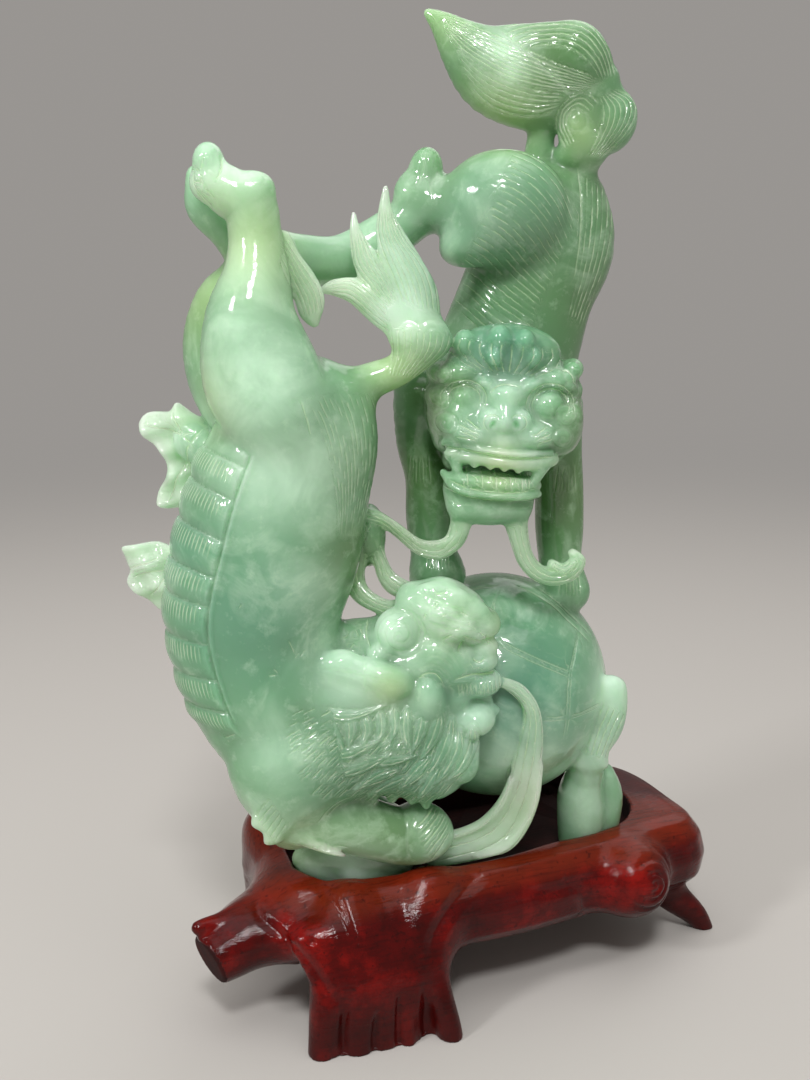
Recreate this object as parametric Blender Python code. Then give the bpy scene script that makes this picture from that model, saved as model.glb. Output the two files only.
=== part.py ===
"""A jade group of two foo dogs tumbling round a ball, on its carved root-shaped wood stand.

The stand lies along X with its soles at z = 0. The jade was carved facing its best side, so it is laid
out in a frame of its own (x to the right, y into the block, z up from the table) and then turned on
the stand. Both pieces are solid. Sizes in the tables are millimetres.
"""

import math

import bmesh
import bpy
from mathutils import Matrix, Vector

MM = 0.001
TURN_ON_STAND = math.radians(-24)   # how far the jade's best side is turned from the stand's long side
JADE_ORIGIN = (-15.0, -6.0)         # where the jade's own x = y = 0 falls on the stand
FOOTPRINT_MIDDLE = (1.3, 0.8)       # middle of the whole group's box in the stand's layout
WELL_FLOOR = 31.0                   # height of the bed that the jade stands in
WELL_RIM = 38.5                     # height of the stand's rim round that bed
SEAT_GAP = 0.3                      # air left between jade and wood
JADE_GRID = 1.2                     # size of the facets that the joined jade masses are cut to
STAND_GRID = 1.5
JADE_DETAIL = 0.047                 # share of those facets kept
STAND_DETAIL = 0.058
JADE_SOFTENING = 3                  # rounds of smoothing that ease the joined creases
STAND_SOFTENING = 3
BALL_RADIUS = 32.0
BALL_CENTRE = (26, 25, 80)


def clear_scene():
    for old in list(bpy.data.objects):
        bpy.data.objects.remove(old)


def finish(name, colour, roughness):
    material = bpy.data.materials.new(name)
    material.use_nodes = True
    shader = material.node_tree.nodes["Principled BSDF"]
    shader.inputs["Base Color"].default_value = (*colour, 1)
    shader.inputs["Roughness"].default_value = roughness
    shader.inputs["Metallic"].default_value = 0
    material.diffuse_color = (*colour, 1)
    return material


def through(rows, steps):
    """Rows of numbers read along a smooth curve through the given rows."""
    padded = [rows[0], *rows, rows[-1]]
    smooth = []
    for before, start, end, after in zip(padded, padded[1:], padded[2:], padded[3:]):
        for step in range(steps):
            t = step / steps
            smooth.append([
                b + (c - a) / 2 * t + (a - 2.5 * b + 2 * c - d / 2) * t**2 + (1.5 * (b - c) + (d - a) / 2) * t**3
                for a, b, c, d in zip(before, start, end, after)
            ])
    return [*smooth, list(rows[-1])]


def ring(mesh, centre, across, depth, sides=14):
    turns = [2 * math.pi * i / sides for i in range(sides)]
    return [mesh.verts.new(centre + across * math.cos(a) + depth * math.sin(a)) for a in turns]


def bridge(mesh, first, second):
    for i, corner in enumerate(first):
        after = (i + 1) % len(first)
        mesh.faces.new((corner, first[after], second[after], second[i]))


def limb(mesh, rows, steps=4, flat_end=False):
    """A closed limb along rows of x, y, z, half width and half depth, with rounded ends.

    The width lies square to the limb in the front view, and the depth lies into the block.
    """
    rows = through(rows, steps)
    points = [Vector(row[:3]) for row in rows]
    rings = []
    last = len(rows) - 1
    for i, (point, row) in enumerate(zip(points, rows)):
        along = (points[min(i + 1, last)] - points[max(i - 1, 0)]).normalized()
        width = along.cross(Vector((0, 1, 0))).normalized()
        depth = width.cross(along)
        cap = min(row[3], row[4])
        bulges = [(0.0, 1.0)]
        if i == 0:
            bulges = [(-math.sin(a) * cap, math.cos(a)) for a in (1.4, 1.0, 0.5)] + bulges
        if i == last and not flat_end:
            bulges = bulges + [(math.sin(a) * cap, math.cos(a)) for a in (0.5, 1.0, 1.4)]
        for shift, shrink in bulges:
            rings.append(ring(mesh, point + along * shift, width * row[3] * shrink, depth * row[4] * shrink))
    for first, second in zip(rings, rings[1:]):
        bridge(mesh, first, second)
    mesh.faces.new(rings[0])
    mesh.faces.new(rings[-1])


def mass(mesh, centre, radii, lean=0):
    """A closed egg shape; lean turns it clockwise in the front view, in degrees."""
    place = Matrix.Translation(centre) @ Matrix.Rotation(math.radians(lean), 4, "Y")
    bmesh.ops.create_icosphere(mesh, subdivisions=3, radius=1, matrix=place @ Matrix.Diagonal((*radii, 1)))


def plate(mesh, outline, profile):
    """A closed slab whose outline is drawn in plan; profile gives how far out it stands at each height."""
    middle = Vector((sum(x for x, y in outline), sum(y for x, y in outline), 0)) / len(outline)
    loop = through([*outline, outline[0]], 4)[:-1]
    rings = []
    for out, height in profile:
        corners = []
        for x, y in loop:
            arm = Vector((x, y, 0)) - middle
            corners.append(mesh.verts.new(middle + arm * (1 + out / arm.length) + Vector((0, 0, height))))
        rings.append(corners)
    for first, second in zip(rings, rings[1:]):
        bridge(mesh, first, second)
    mesh.faces.new(rings[0])
    mesh.faces.new(rings[-1])


def make_object(name, mesh, material=None):
    """One object from the collected shapes, in metres, with every face pointing out."""
    bmesh.ops.recalc_face_normals(mesh, faces=mesh.faces)
    bmesh.ops.scale(mesh, vec=(MM, MM, MM), verts=mesh.verts)
    data = bpy.data.meshes.new(name)
    mesh.to_mesh(data)
    mesh.free()
    obj = bpy.data.objects.new(name, data)
    bpy.context.collection.objects.link(obj)
    if material:
        data.materials.append(material)
    return obj


def carve_as_one(obj, grid, detail, soften):
    """Join overlapping shapes into one skin, ease its creases and keep the facets that the form needs."""
    join = obj.modifiers.new("join", "REMESH")
    join.mode = "VOXEL"
    join.voxel_size = grid * MM
    ease = obj.modifiers.new("ease", "SMOOTH")
    ease.factor = 0.5
    ease.iterations = soften
    facets = obj.modifiers.new("facets", "DECIMATE")
    facets.ratio = detail


def cut(obj, cutter):
    cutter.hide_render = True
    cutter.display_type = "WIRE"
    take = obj.modifiers.new(cutter.name, "BOOLEAN")
    take.operation = "DIFFERENCE"
    take.object = cutter


def box_cutter(name, low, high):
    mesh = bmesh.new()
    size = Vector(high) - Vector(low)
    middle = (Vector(high) + Vector(low)) / 2
    bmesh.ops.create_cube(mesh, size=1, matrix=Matrix.Translation(middle) @ Matrix.Diagonal((*size, 1)))
    return make_object(name, mesh)


# The jade, one block: the lower dog stands on its forelegs at the left, belly outwards.
def lower_dog(jade):
    # trunk, rump to chest
    limb(jade, [
        (-24, -6, 172, 17, 14), (-27, -7, 158, 20, 16), (-33, -8, 142, 23, 17), (-37, -8, 128, 24, 18),
        (-40, -8, 113, 22.5, 18), (-39, -8, 101, 21.5, 17), (-34, -9, 88, 20, 17), (-26, -10, 77, 17, 16),
    ])
    # near thigh, hock and paw
    limb(jade, [
        (-27, -10, 154, 12, 11), (-33, -12, 163, 15.5, 13), (-37, -13, 174, 15, 13.5), (-38, -13, 185, 12.5, 12),
        (-37, -12, 195, 9, 9), (-36.5, -11, 204, 6.7, 7), (-37.5, -11, 213, 7, 6.5), (-41, -11, 217, 6.5, 6.5),
        (-47, -11, 219, 6, 6),
    ])
    limb(jade, [(-47.5, -11, 216, 6, 6), (-48.5, -11, 221, 4.8, 5.5), (-48, -11, 224, 3.5, 4.5)])
    mass(jade, (-36.5, -11, 215), (5.5, 6, 6))
    # far thigh and paw
    limb(jade, [
        (-42, 0, 158, 10, 10), (-46, 2, 168, 11.5, 10), (-48, 4, 180, 10.5, 10), (-48, 5, 192, 7.5, 8),
        (-47, 5, 203, 5.5, 6), (-51, 1, 212, 4, 4.5),
    ])
    # hair behind the hock
    limb(jade, [(-30, -8, 206, 2, 2.5), (-28, -8, 199, 4.5, 2.5), (-25, -8, 192, 5, 2.4), (-23, -8, 186, 3, 2)])
    # shoulder, upper arm, forearm laid along the bed, paw
    mass(jade, (-28, -11, 72), (19, 16, 17))
    limb(jade, [(-29, -13, 68, 13, 13), (-31, -14, 59, 10, 11), (-30, -13, 54, 8, 9)])
    limb(jade, [
        (-29, -13, 55, 8, 9), (-17, -11, 51, 8, 8.5), (-5, -8, 47.5, 8.5, 8), (4, -6, 46.5, 8.7, 8), (8, -4, 45, 7, 7),
    ])
    limb(jade, [(-35, -17, 57, 4, 4), (-37, -18, 53, 3.5, 3), (-28, -17, 50, 3, 3), (-17, -15, 50, 3, 3)])
    mass(jade, (-14, -4, 39), (17, 7.5, 7.5))
    # far foreleg, planted behind
    limb(jade, [(-24, 0, 68, 10, 9), (-18, 8, 55, 7, 7), (-10, 12, 45, 6.5, 6.5), (-1, 14, 38, 7, 7)])


def lower_tail(jade):
    limb(jade, [(-15, -5, 165, 7, 6), (-8, -4, 169, 5, 4.8), (-2, -3, 171, 4.2, 4.2), (5, -3, 176, 4.5, 4.3)])
    mass(jade, (6.5, -4, 181), (6.3, 6, 6.3))
    limb(jade, [
        (5, -3, 184, 6, 4.5), (2, -3, 194, 7.5, 4), (-3, -3, 203, 5, 3), (-5, -3, 210, 2.6, 2), (-4, -3, 216, 1, 1),
    ])
    limb(jade, [(-1, -3, 188, 5.5, 3.5), (-8, -3, 196, 4.5, 3), (-12, -3, 203, 2.8, 2), (-13, -3, 210, 1, 1)])
    limb(jade, [(2, -3, 184, 5, 4), (-6, -3, 188, 5, 3.5), (-13, -3, 192, 3.4, 2.5), (-21, -3, 192, 1.2, 1.2)])


def lower_head(jade):
    mass(jade, (6, -4, 96), (17, 14, 17))
    mass(jade, (11.5, -8, 110.5), (13.5, 9, 7.5), lean=14)
    mass(jade, (21, -8, 106.5), (4.4, 6, 3.6))
    mass(jade, (-1, -13, 104), (7.6, 6, 7.6))
    mass(jade, (19.5, -10, 99), (4.4, 5, 4))
    mass(jade, (19, -9, 91.5), (6.8, 7.5, 5.2))
    mass(jade, (17.5, -8, 81.5), (7, 6.5, 5.5))
    mass(jade, (6, -17, 89.5), (4.8, 4.5, 4.8))
    mass(jade, (6, -11, 83), (10, 8, 10))
    limb(jade, [(-22, -17, 95.5, 5, 4), (-13, -18, 95.8, 5.6, 4), (-5, -18, 94.5, 5.3, 3.6), (1, -18, 93, 3.4, 3)])
    # mane, ending in locks
    mass(jade, (-8, -9, 77), (22, 12, 16))
    for root_x, tip_x, tip_z in ((-16, -17, 62), (-8, -9, 59), (0, 4, 58.5), (7, 12, 64), (11, 18, 71)):
        limb(jade, [(root_x, -12, 76, 6, 5), ((root_x + tip_x) / 2, -13, 68, 5, 4), (tip_x, -12, tip_z, 2, 2)])


def ball_and_ribbons(jade):
    mass(jade, BALL_CENTRE, (BALL_RADIUS, BALL_RADIUS, BALL_RADIUS))
    # ribbon from the lower dog's mouth, over the ball, down to its paw
    limb(jade, [
        (24, -8, 88, 2.4, 2), (30, -8, 84, 3, 2), (33.5, -7, 77, 3.5, 2), (34, -5, 68, 4, 2), (32, -3, 59, 4.4, 2.2),
        (30, -2, 51, 4.8, 2.4), (26, -2, 44, 5.4, 2.6), (18, -2, 41, 5.2, 3), (9, -3, 40, 5, 4),
    ])
    # knotted ribbon that props the ball at the right
    limb(jade, [
        (58.5, 18, 83, 4.2, 4), (58.5, 18, 78, 4.8, 4.2), (57, 18, 71, 5, 4.2), (54, 19, 64, 5.2, 4.6),
        (53, 20, 57, 4.8, 5),
    ])
    limb(jade, [(52.5, 20, 58, 5, 6), (51, 20, 49, 7.5, 8), (50, 20, 40, 8, 8), (50, 20, 34, 7.5, 7.5)])
    limb(jade, [(58, 22, 53, 4, 5), (60, 23, 46, 4.5, 6), (59, 23, 38, 4.5, 6)])
    # ribbon ends blown out behind the lower dog
    limb(jade, [(-48, -1, 150, 6, 3), (-56, 1, 156, 7, 2.6), (-63, 2, 157, 4.5, 2.2), (-68, 2, 157.5, 2.4, 1.6)])
    limb(jade, [(-58, 1, 153, 5, 2.4), (-57, 1, 145, 4, 2.4), (-60, 1, 139, 4.6, 2.4), (-64, 1, 138, 2.4, 1.8)])
    limb(jade, [(-56, 0, 119, 6, 3), (-65, 2, 119, 7, 2.6), (-71, 2, 120.5, 5, 2.2), (-74, 2, 121, 3, 1.6)])
    # streamers that tie the heads together
    limb(jade, [
        (18, -2, 133, 3.4, 2.6), (13, -2, 127, 2.8, 2.4), (7, -2, 125.5, 2.2, 2.2), (0, -1, 130, 2, 2),
        (-7, 0, 133.5, 2, 2), (-14, -2, 132, 2, 2),
    ])
    limb(jade, [
        (-9, -1, 133, 1.8, 1.8), (-12, -1, 126, 2.2, 2), (-15, -1, 118, 2.6, 2.2), (-11, -3, 113, 2, 2),
        (-3, -5, 108, 2.4, 2.2),
    ])
    limb(jade, [(-9, 0, 128, 1.8, 1.8), (-6.5, -1, 119, 1.8, 1.8), (-2, -3, 113, 2.2, 2), (2, -4, 110, 2.4, 2.4)])
    limb(jade, [
        (25, -2, 133, 3.4, 2.6), (29, -1, 126, 2.6, 2.4), (33, 0, 120, 2.6, 2.4), (39, 1, 116.5, 2.6, 3),
        (45, 2, 118, 2.6, 4), (46, 5, 121, 2, 3),
    ])
    mass(jade, (42, 4, 119), (5, 5, 3))


# The upper dog stands on the ball and looks out over it.
def upper_dog(jade):
    limb(jade, [
        (40.5, 24, 212, 16, 14), (38.5, 24, 204, 19.5, 16.5), (33.5, 24, 192, 19, 16.5), (29, 23, 178, 20, 16),
        (25, 22, 165, 20, 15), (24, 22, 152, 17, 13),
    ])
    mass(jade, (25.5, 10, 211), (17, 13, 14.5))
    # near shank, hock and paw reaching across to the lower dog
    limb(jade, [(13, 10, 212, 7.5, 8), (6, 13, 215, 8, 7.5), (4, 14, 220, 7, 6.5), (6, 14, 226, 3.6, 4)])
    limb(jade, [
        (4, 14, 213, 7, 7), (-6, 14, 205, 7, 7), (-17, 10, 199.5, 7, 6.5), (-27, 2, 200, 6, 6), (-32, -3, 202, 5, 5),
    ])
    # far thigh and shank, folded on the back
    mass(jade, (41, 36, 206), (14, 11, 15))
    limb(jade, [(46, 42, 202, 7, 6), (48, 44, 192, 6, 6), (40, 42, 182, 6, 6), (34, 40, 178, 5, 5)])
    # forelegs down on the ball
    limb(jade, [
        (6, 22, 163, 9.5, 10), (3.5, 21, 151, 6, 7), (6, 20, 141, 6, 6.5), (7, 20, 130, 6.8, 6.8), (8, 20, 120, 6.5, 7),
        (9, 18, 114, 8, 8),
    ])
    limb(jade, [
        (41, 22, 160, 8, 9), (42, 22, 148, 7, 7.5), (43, 23, 138, 6.8, 7), (43.5, 24, 126, 6.8, 6.8),
        (44, 24, 116, 6, 6.5), (46, 23, 108, 6.5, 7),
    ])


def upper_tail(jade):
    limb(jade, [
        (50, 18, 237, 8, 7), (41, 18, 244, 12.5, 9), (31, 18, 246, 12.5, 9), (23, 18, 248.5, 11, 7.5),
        (16, 17, 253, 7, 5), (10, 17, 258.5, 3.4, 3), (6, 17, 261, 1.4, 1.4),
    ])
    mass(jade, (53, 18, 235), (8.3, 8, 9.5))
    mass(jade, (45, 12, 235), (5.2, 5, 5.2))
    limb(jade, [(34, 21, 222, 4, 4), (35, 19, 234, 3.4, 3.6)])
    limb(jade, [(48, 22, 214, 5, 5), (50, 19, 229, 4.6, 4.6)])


def upper_head(jade):
    mass(jade, (27, 9, 168), (17, 14, 14))
    mass(jade, (25, -1, 155.5), (15.5, 9.5, 7.5), lean=4)
    limb(jade, [(26, -3, 171, 5, 5), (26, -6, 166, 4.5, 4.5), (26.5, -9, 161, 6, 4)])
    mass(jade, (38.5, -2, 164), (5.7, 5.5, 5.7))
    mass(jade, (14.5, -1, 166), (4.8, 5, 4.8))
    mass(jade, (15, 0, 174.5), (6, 5, 4))
    mass(jade, (38, 0, 173), (6.5, 5, 4))
    mass(jade, (25, 3, 178), (13, 9, 6))
    for x, z, radius in ((45, 172, 4.5), (45, 163, 4.5), (43, 155, 4.5), (8, 168, 5), (8, 158, 5)):
        mass(jade, (x, 8, z), (radius, radius + 2, radius))
    # upper teeth and fangs, mouth left open, lower jaw
    limb(jade, [(12, -4, 150, 3, 2.5), (24, -7, 149, 3, 2.5), (36, -4, 147.5, 3, 2.5)])
    limb(jade, [(14, -4, 150, 2.2, 2.2), (14.5, -4, 144, 1.6, 2)])
    limb(jade, [(34, -4, 148, 2.2, 2.2), (33, -4, 141, 1.6, 2)])
    limb(jade, [(12, 0, 141.5, 4, 5), (23, -4, 141, 4, 5), (34, 0, 139.5, 4, 5)])
    mass(jade, (22.5, 0, 136.5), (10.5, 7, 6))
    mass(jade, (24, 10, 144), (11, 8, 10))


def stand_shape(wood):
    outline = [
        (-46, -9), (-34, -13.5), (-13, -18), (11, -19.5), (30, -18), (46, -15), (62, -13), (73, -9), (75, 8),
        (74, 24), (66, 30), (40, 31), (10, 32), (-18, 31), (-36, 28), (-43, 18), (-46, 4),
    ]
    rim = [(-6, WELL_RIM - 0.6), (0, WELL_RIM), (4, 37.5), (7.5, 33), (9, 27), (8, 21), (4, 17), (-4, 15.5)]
    plate(wood, outline, rim)
    # broad fluted front foot
    limb(wood, [
        (-30, -21, 25, 24, 8), (-31, -27, 16, 19, 8), (-32, -30, 8, 18, 7), (-32, -32, 2, 20, 7), (-32, -33, -6, 21, 7),
    ])
    # back feet and the foot under the right end
    limb(wood, [(-38, 29, 24, 13, 8), (-40, 32, 12, 10, 7), (-41, 34, -6, 12, 7.5)])
    limb(wood, [(62, 29, 24, 13, 8), (66, 32, 12, 9, 7), (67, 34, -6, 11, 7.5)])
    limb(wood, [(71, -6, 22, 9, 9), (77, -8, 11, 6.5, 6.5), (80, -9, -6, 6.5, 6.5)])
    # cut branch at the left, with a stub on top
    limb(wood, [(-40, 0, 28, 9, 16), (-52, -4, 26, 8, 12), (-63, -7, 23, 6.8, 9), (-73, -9, 20, 7, 7)], flat_end=True)
    limb(wood, [(-60, -5, 27, 4, 4), (-69, -6, 25.5, 3, 3), (-74, -6, 26, 2.4, 2.4)])
    # burl at the front right and the raised corner at the back left
    mass(wood, (50, -21, 26), (14, 11, 10))
    mass(wood, (-45, 27, 35), (8.5, 12, 9.5))
    return outline


clear_scene()
mesh = bmesh.new()
lower_dog(mesh)
lower_tail(mesh)
lower_head(mesh)
ball_and_ribbons(mesh)
upper_dog(mesh)
upper_tail(mesh)
upper_head(mesh)
carving = make_object("jade_carving", mesh, finish("polished green jade", (0.30, 0.50, 0.33), 0.18))
carving.rotation_euler.z = TURN_ON_STAND
carving.location = [(at - middle) * MM for at, middle in zip(JADE_ORIGIN, FOOTPRINT_MIDDLE)] + [0]
carve_as_one(carving, JADE_GRID, JADE_DETAIL, JADE_SOFTENING)
seat = WELL_FLOOR + SEAT_GAP
cut(carving, box_cutter("jade_underside", (-120, -120, seat - 30), (120, 120, seat)))

mesh = bmesh.new()
well_outline = stand_shape(mesh)
stand = make_object("wood_stand", mesh, finish("red lacquered hardwood", (0.17, 0.018, 0.012), 0.25))
stand.location = [-middle * MM for middle in FOOTPRINT_MIDDLE] + [0]
carve_as_one(stand, STAND_GRID, STAND_DETAIL, STAND_SOFTENING)
mesh = bmesh.new()
plate(mesh, well_outline, [(0.5, WELL_RIM + 12), (0.5, WELL_FLOOR)])
well = make_object("well", mesh)
well.location = stand.location
cut(stand, well)
cut(stand, box_cutter("ground", (-120, -120, -30), (120, 120, 0)))
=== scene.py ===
import math

import bpy
import numpy as np
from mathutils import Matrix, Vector


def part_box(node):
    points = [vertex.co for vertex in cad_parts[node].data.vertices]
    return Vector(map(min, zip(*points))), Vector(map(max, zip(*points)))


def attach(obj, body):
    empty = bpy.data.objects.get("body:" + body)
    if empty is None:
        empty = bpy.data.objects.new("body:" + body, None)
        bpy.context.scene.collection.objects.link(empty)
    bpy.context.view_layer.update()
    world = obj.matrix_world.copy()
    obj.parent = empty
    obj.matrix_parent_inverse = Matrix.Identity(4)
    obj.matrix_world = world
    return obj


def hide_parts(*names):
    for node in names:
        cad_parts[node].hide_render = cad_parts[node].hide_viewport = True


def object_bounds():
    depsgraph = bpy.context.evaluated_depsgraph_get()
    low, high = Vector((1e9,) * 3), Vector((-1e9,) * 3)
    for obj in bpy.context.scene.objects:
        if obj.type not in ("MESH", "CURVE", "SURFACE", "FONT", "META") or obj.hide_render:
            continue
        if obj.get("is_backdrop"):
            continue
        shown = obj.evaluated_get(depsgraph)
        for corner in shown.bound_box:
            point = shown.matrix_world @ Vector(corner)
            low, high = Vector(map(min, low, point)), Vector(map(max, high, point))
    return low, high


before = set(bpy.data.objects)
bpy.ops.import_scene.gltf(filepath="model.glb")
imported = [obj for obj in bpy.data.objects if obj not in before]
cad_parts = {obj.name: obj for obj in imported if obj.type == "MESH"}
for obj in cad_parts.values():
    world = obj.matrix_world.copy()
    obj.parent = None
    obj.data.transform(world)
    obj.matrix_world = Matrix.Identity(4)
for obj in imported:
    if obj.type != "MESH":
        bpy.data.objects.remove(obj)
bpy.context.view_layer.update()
MM = 0.001
stand_low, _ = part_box("wood_stand")

# The camera looks straight on to the jade's best side, which is turned to the left on the stand, from three
# quarters of the jade's height and a little downwards. Lengths are millimetres.
BEST_SIDE = math.radians(-24)
CARVING_AT = (60.7, 33.1)            # the carving's own zero, from the stand's left front corner
EYE_DISTANCE, EYE_HEIGHT = 336, 195
EYE_DIP = 11.4                       # degrees below level
carving_origin = Vector((stand_low.x + CARVING_AT[0] * MM, stand_low.y + CARVING_AT[1] * MM, 0))
camera_data = bpy.data.cameras.new("camera")
camera_data.sensor_width = 36
camera_data.lens = 43.33
camera = bpy.data.objects.new("camera", camera_data)
bpy.context.scene.collection.objects.link(camera)
camera.location = (
    carving_origin.x + EYE_DISTANCE * MM * math.sin(BEST_SIDE),
    carving_origin.y - EYE_DISTANCE * MM * math.cos(BEST_SIDE),
    stand_low.z + EYE_HEIGHT * MM,
)
camera.rotation_euler = (math.radians(90 - EYE_DIP), 0, BEST_SIDE)
bpy.context.scene.camera = camera


# ---------------------------------------------------------------------------------------------------------
# The jade carving: two foo dogs tumbling round a brocade ball, cut from one block of pale green serpentine.
# The masses are roughed out of the block first, run into each other as the carver leaves them, and then the
# hair, scutes, seams and faces are engraved with small wheels. Lengths are millimetres in the carving's own
# layout: x to the right of its best side, y into the block, z up from the table.
BLOCK_LOW = (-86, -32, 30)
BLOCK_HIGH = (68, 58, 264)
CUTTING_GRID = 0.45  # spacing of the points that the form is worked out on
SEAT_HEIGHT = 31.3                          # underside of the jade, just over the bed of the stand's well
FAR_AWAY = 9.0                              # distance kept for points well outside a form or off a cut
MARGIN = 1.5                                # spare room round a form, past its fillet
LONE_GAP = 8                                # gap between strands that a cut on its own is drawn with
JADE_TRIANGLES = 198000


def between(first, last, count):
    """A family of lines, from the first to the last."""
    first, last = np.array(first, float), np.array(last, float)
    return [first + (last - first) * share for share in np.linspace(0, 1, count)]


class Block:
    """A block of material: for every point of a grid, how far outside the carved form it lies."""

    def __init__(self, low, high, grid):
        self.low = np.array(low, float)
        self.grid = grid
        self.counts = np.ceil((np.array(high) - self.low) / grid).astype(int) + 1
        self.outside = np.full(self.counts, FAR_AWAY, np.float32)
        self.owner = np.zeros(self.counts, np.uint8)
        self.parts = [""]

    def window(self, low, high):
        """The block's slices between two corners, and the x, y and z of their points."""
        first = np.clip(np.floor((np.array(low) - self.low) / self.grid), 0, self.counts - 2).astype(int)
        last = np.ceil((np.array(high) - self.low) / self.grid) + 1
        last = np.clip(last, first + 2, self.counts).astype(int)
        slices = tuple(slice(a, b) for a, b in zip(first, last))
        lines = [self.low[k] + self.grid * np.arange(first[k], last[k]) for k in range(3)]
        x, y, z = (line.astype(np.float32) for line in lines)
        return slices, x[:, None, None], y[None, :, None], z[None, None, :]

    def part(self, name):
        """The number of a named part."""
        if name not in self.parts:
            self.parts.append(name)
        return self.parts.index(name)

    def add(self, slices, distance, blend, name):
        """Join a form to the block, running into it with a fillet about as wide as blend."""
        before = self.outside[slices]
        self.owner[slices][distance < before] = self.part(name)
        near = np.maximum(blend - np.abs(before - distance), 0) / blend
        self.outside[slices] = np.minimum(before, distance) - near * near * (blend / 4)

    def take(self, slices, distance, blend):
        """Cut a form out of the block, easing the new edge."""
        before = self.outside[slices]
        near = np.maximum(blend - np.abs(before + distance), 0) / blend
        self.outside[slices] = np.maximum(before, -distance) + near * near * (blend / 4)

    def ease(self, rounds):
        """Wear creases down, as tumbling and polishing do."""
        for axis in (0, 1, 2) * rounds:
            field = np.moveaxis(self.outside, axis, 0)
            field[1:-1] = field[1:-1] * 0.5 + (field[:-2] + field[2:]) * 0.25


def through(rows, steps):
    """Rows of numbers read along a smooth curve through the given rows."""
    padded = np.array([rows[0], *rows, rows[-1]], float)
    smooth = []
    for a, b, c, d in zip(padded, padded[1:], padded[2:], padded[3:]):
        for t in np.arange(steps) / steps:
            smooth.append(b + (c - a) / 2 * t + (a - 2.5 * b + 2 * c - d / 2) * t**2
                          + (1.5 * (b - c) + (d - a) / 2) * t**3)
    return np.array([*smooth, rows[-1]], float)


def limb(block, name, rows, blend=2.0, cut=False):
    """A limb along rows of x, y, z, half width and half depth. The width lies square to it in the front
    view, and the depth lies into the block."""
    rows = through(rows, 4)
    points = rows[:, :3]
    halves = rows[:, 3:5]
    reach = halves.max() + blend + MARGIN
    slices, x, y, z = block.window(points.min(0) - reach, points.max(0) + reach)
    nearest = np.full((x.size, y.size, z.size), FAR_AWAY, np.float32)
    for i in range(len(rows) - 1):
        a, b = points[i], points[i + 1]
        length = max(np.linalg.norm(b - a), 1e-4)
        along = (b - a) / length
        across = np.cross(along, (0, 1, 0))
        across /= np.linalg.norm(across)
        deep = np.cross(across, along)
        room = max(halves[i].max(), halves[i + 1].max()) + blend + MARGIN
        low, high = np.minimum(a, b) - room, np.maximum(a, b) + room
        own = tuple(
            slice(*np.searchsorted(line.ravel(), ends)) for line, ends in zip((x, y, z), zip(low, high)))
        qx, qy, qz = x[own[0]] - a[0], y[:, own[1]] - a[1], z[:, :, own[2]] - a[2]
        if not (qx.size and qy.size and qz.size):
            continue
        far = qx * along[0] + qy * along[1] + qz * along[2]
        share = np.clip(far / length, 0, 1)
        past = far - share * length
        side = qx * across[0] + qy * across[1] + qz * across[2]
        depth = qx * deep[0] + qy * deep[1] + qz * deep[2]
        wide = halves[i, 0] + (halves[i + 1, 0] - halves[i, 0]) * share
        thick = halves[i, 1] + (halves[i + 1, 1] - halves[i, 1]) * share
        end = np.minimum(wide, thick)
        side /= wide
        depth /= thick
        past /= end
        ratio = np.sqrt(side * side + depth * depth + past * past) + 1e-6
        slope = np.sqrt((side / wide) ** 2 + (depth / thick) ** 2 + (past / end) ** 2) + 1e-6
        distance = ratio * (ratio - 1) / slope
        nearest[own] = np.minimum(nearest[own], distance)
    if cut:
        block.take(slices, nearest, blend)
    else:
        block.add(slices, nearest, blend, name)


def mass(block, name, centre, radii, lean=0, blend=2.0, cut=False):
    """An egg-shaped form. Lean turns it clockwise in the front view, in degrees."""
    reach = max(radii) + blend + MARGIN
    slices, x, y, z = block.window(np.array(centre) - reach, np.array(centre) + reach)
    x, y, z = x - centre[0], y - centre[1], z - centre[2]
    c, s = math.cos(math.radians(lean)), math.sin(math.radians(lean))
    x, z = x * c - z * s, z * c + x * s
    x, y, z = x / radii[0], y / radii[1], z / radii[2]
    ratio = np.sqrt(x * x + y * y + z * z) + 1e-6
    slope = np.sqrt((x / radii[0]) ** 2 + (y / radii[1]) ** 2 + (z / radii[2]) ** 2) + 1e-6
    distance = (ratio * (ratio - 1) / slope).astype(np.float32)
    if cut:
        block.take(slices, distance, blend)
    else:
        block.add(slices, distance, blend, name)


def off_edge(edge, x, y):
    """How far each place lies outside a closed edge, less than zero inside it."""
    away = np.full(np.broadcast(x, y).shape, 1e6)
    inside = np.zeros(away.shape, bool)
    for (x0, y0), (x1, y1) in zip(edge, np.roll(edge, -1, axis=0)):
        run, rise = x1 - x0, y1 - y0
        share = np.clip(((x - x0) * run + (y - y0) * rise) / max(run * run + rise * rise, 1e-9), 0, 1)
        away = np.minimum(away, np.hypot(x - x0 - share * run, y - y0 - share * rise))
        crosses = ((y0 > y) != (y1 > y)) & (x < x0 + (y - y0) / (rise or 1e-9) * run)
        inside ^= crosses
    return np.where(inside, -away, away)


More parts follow.
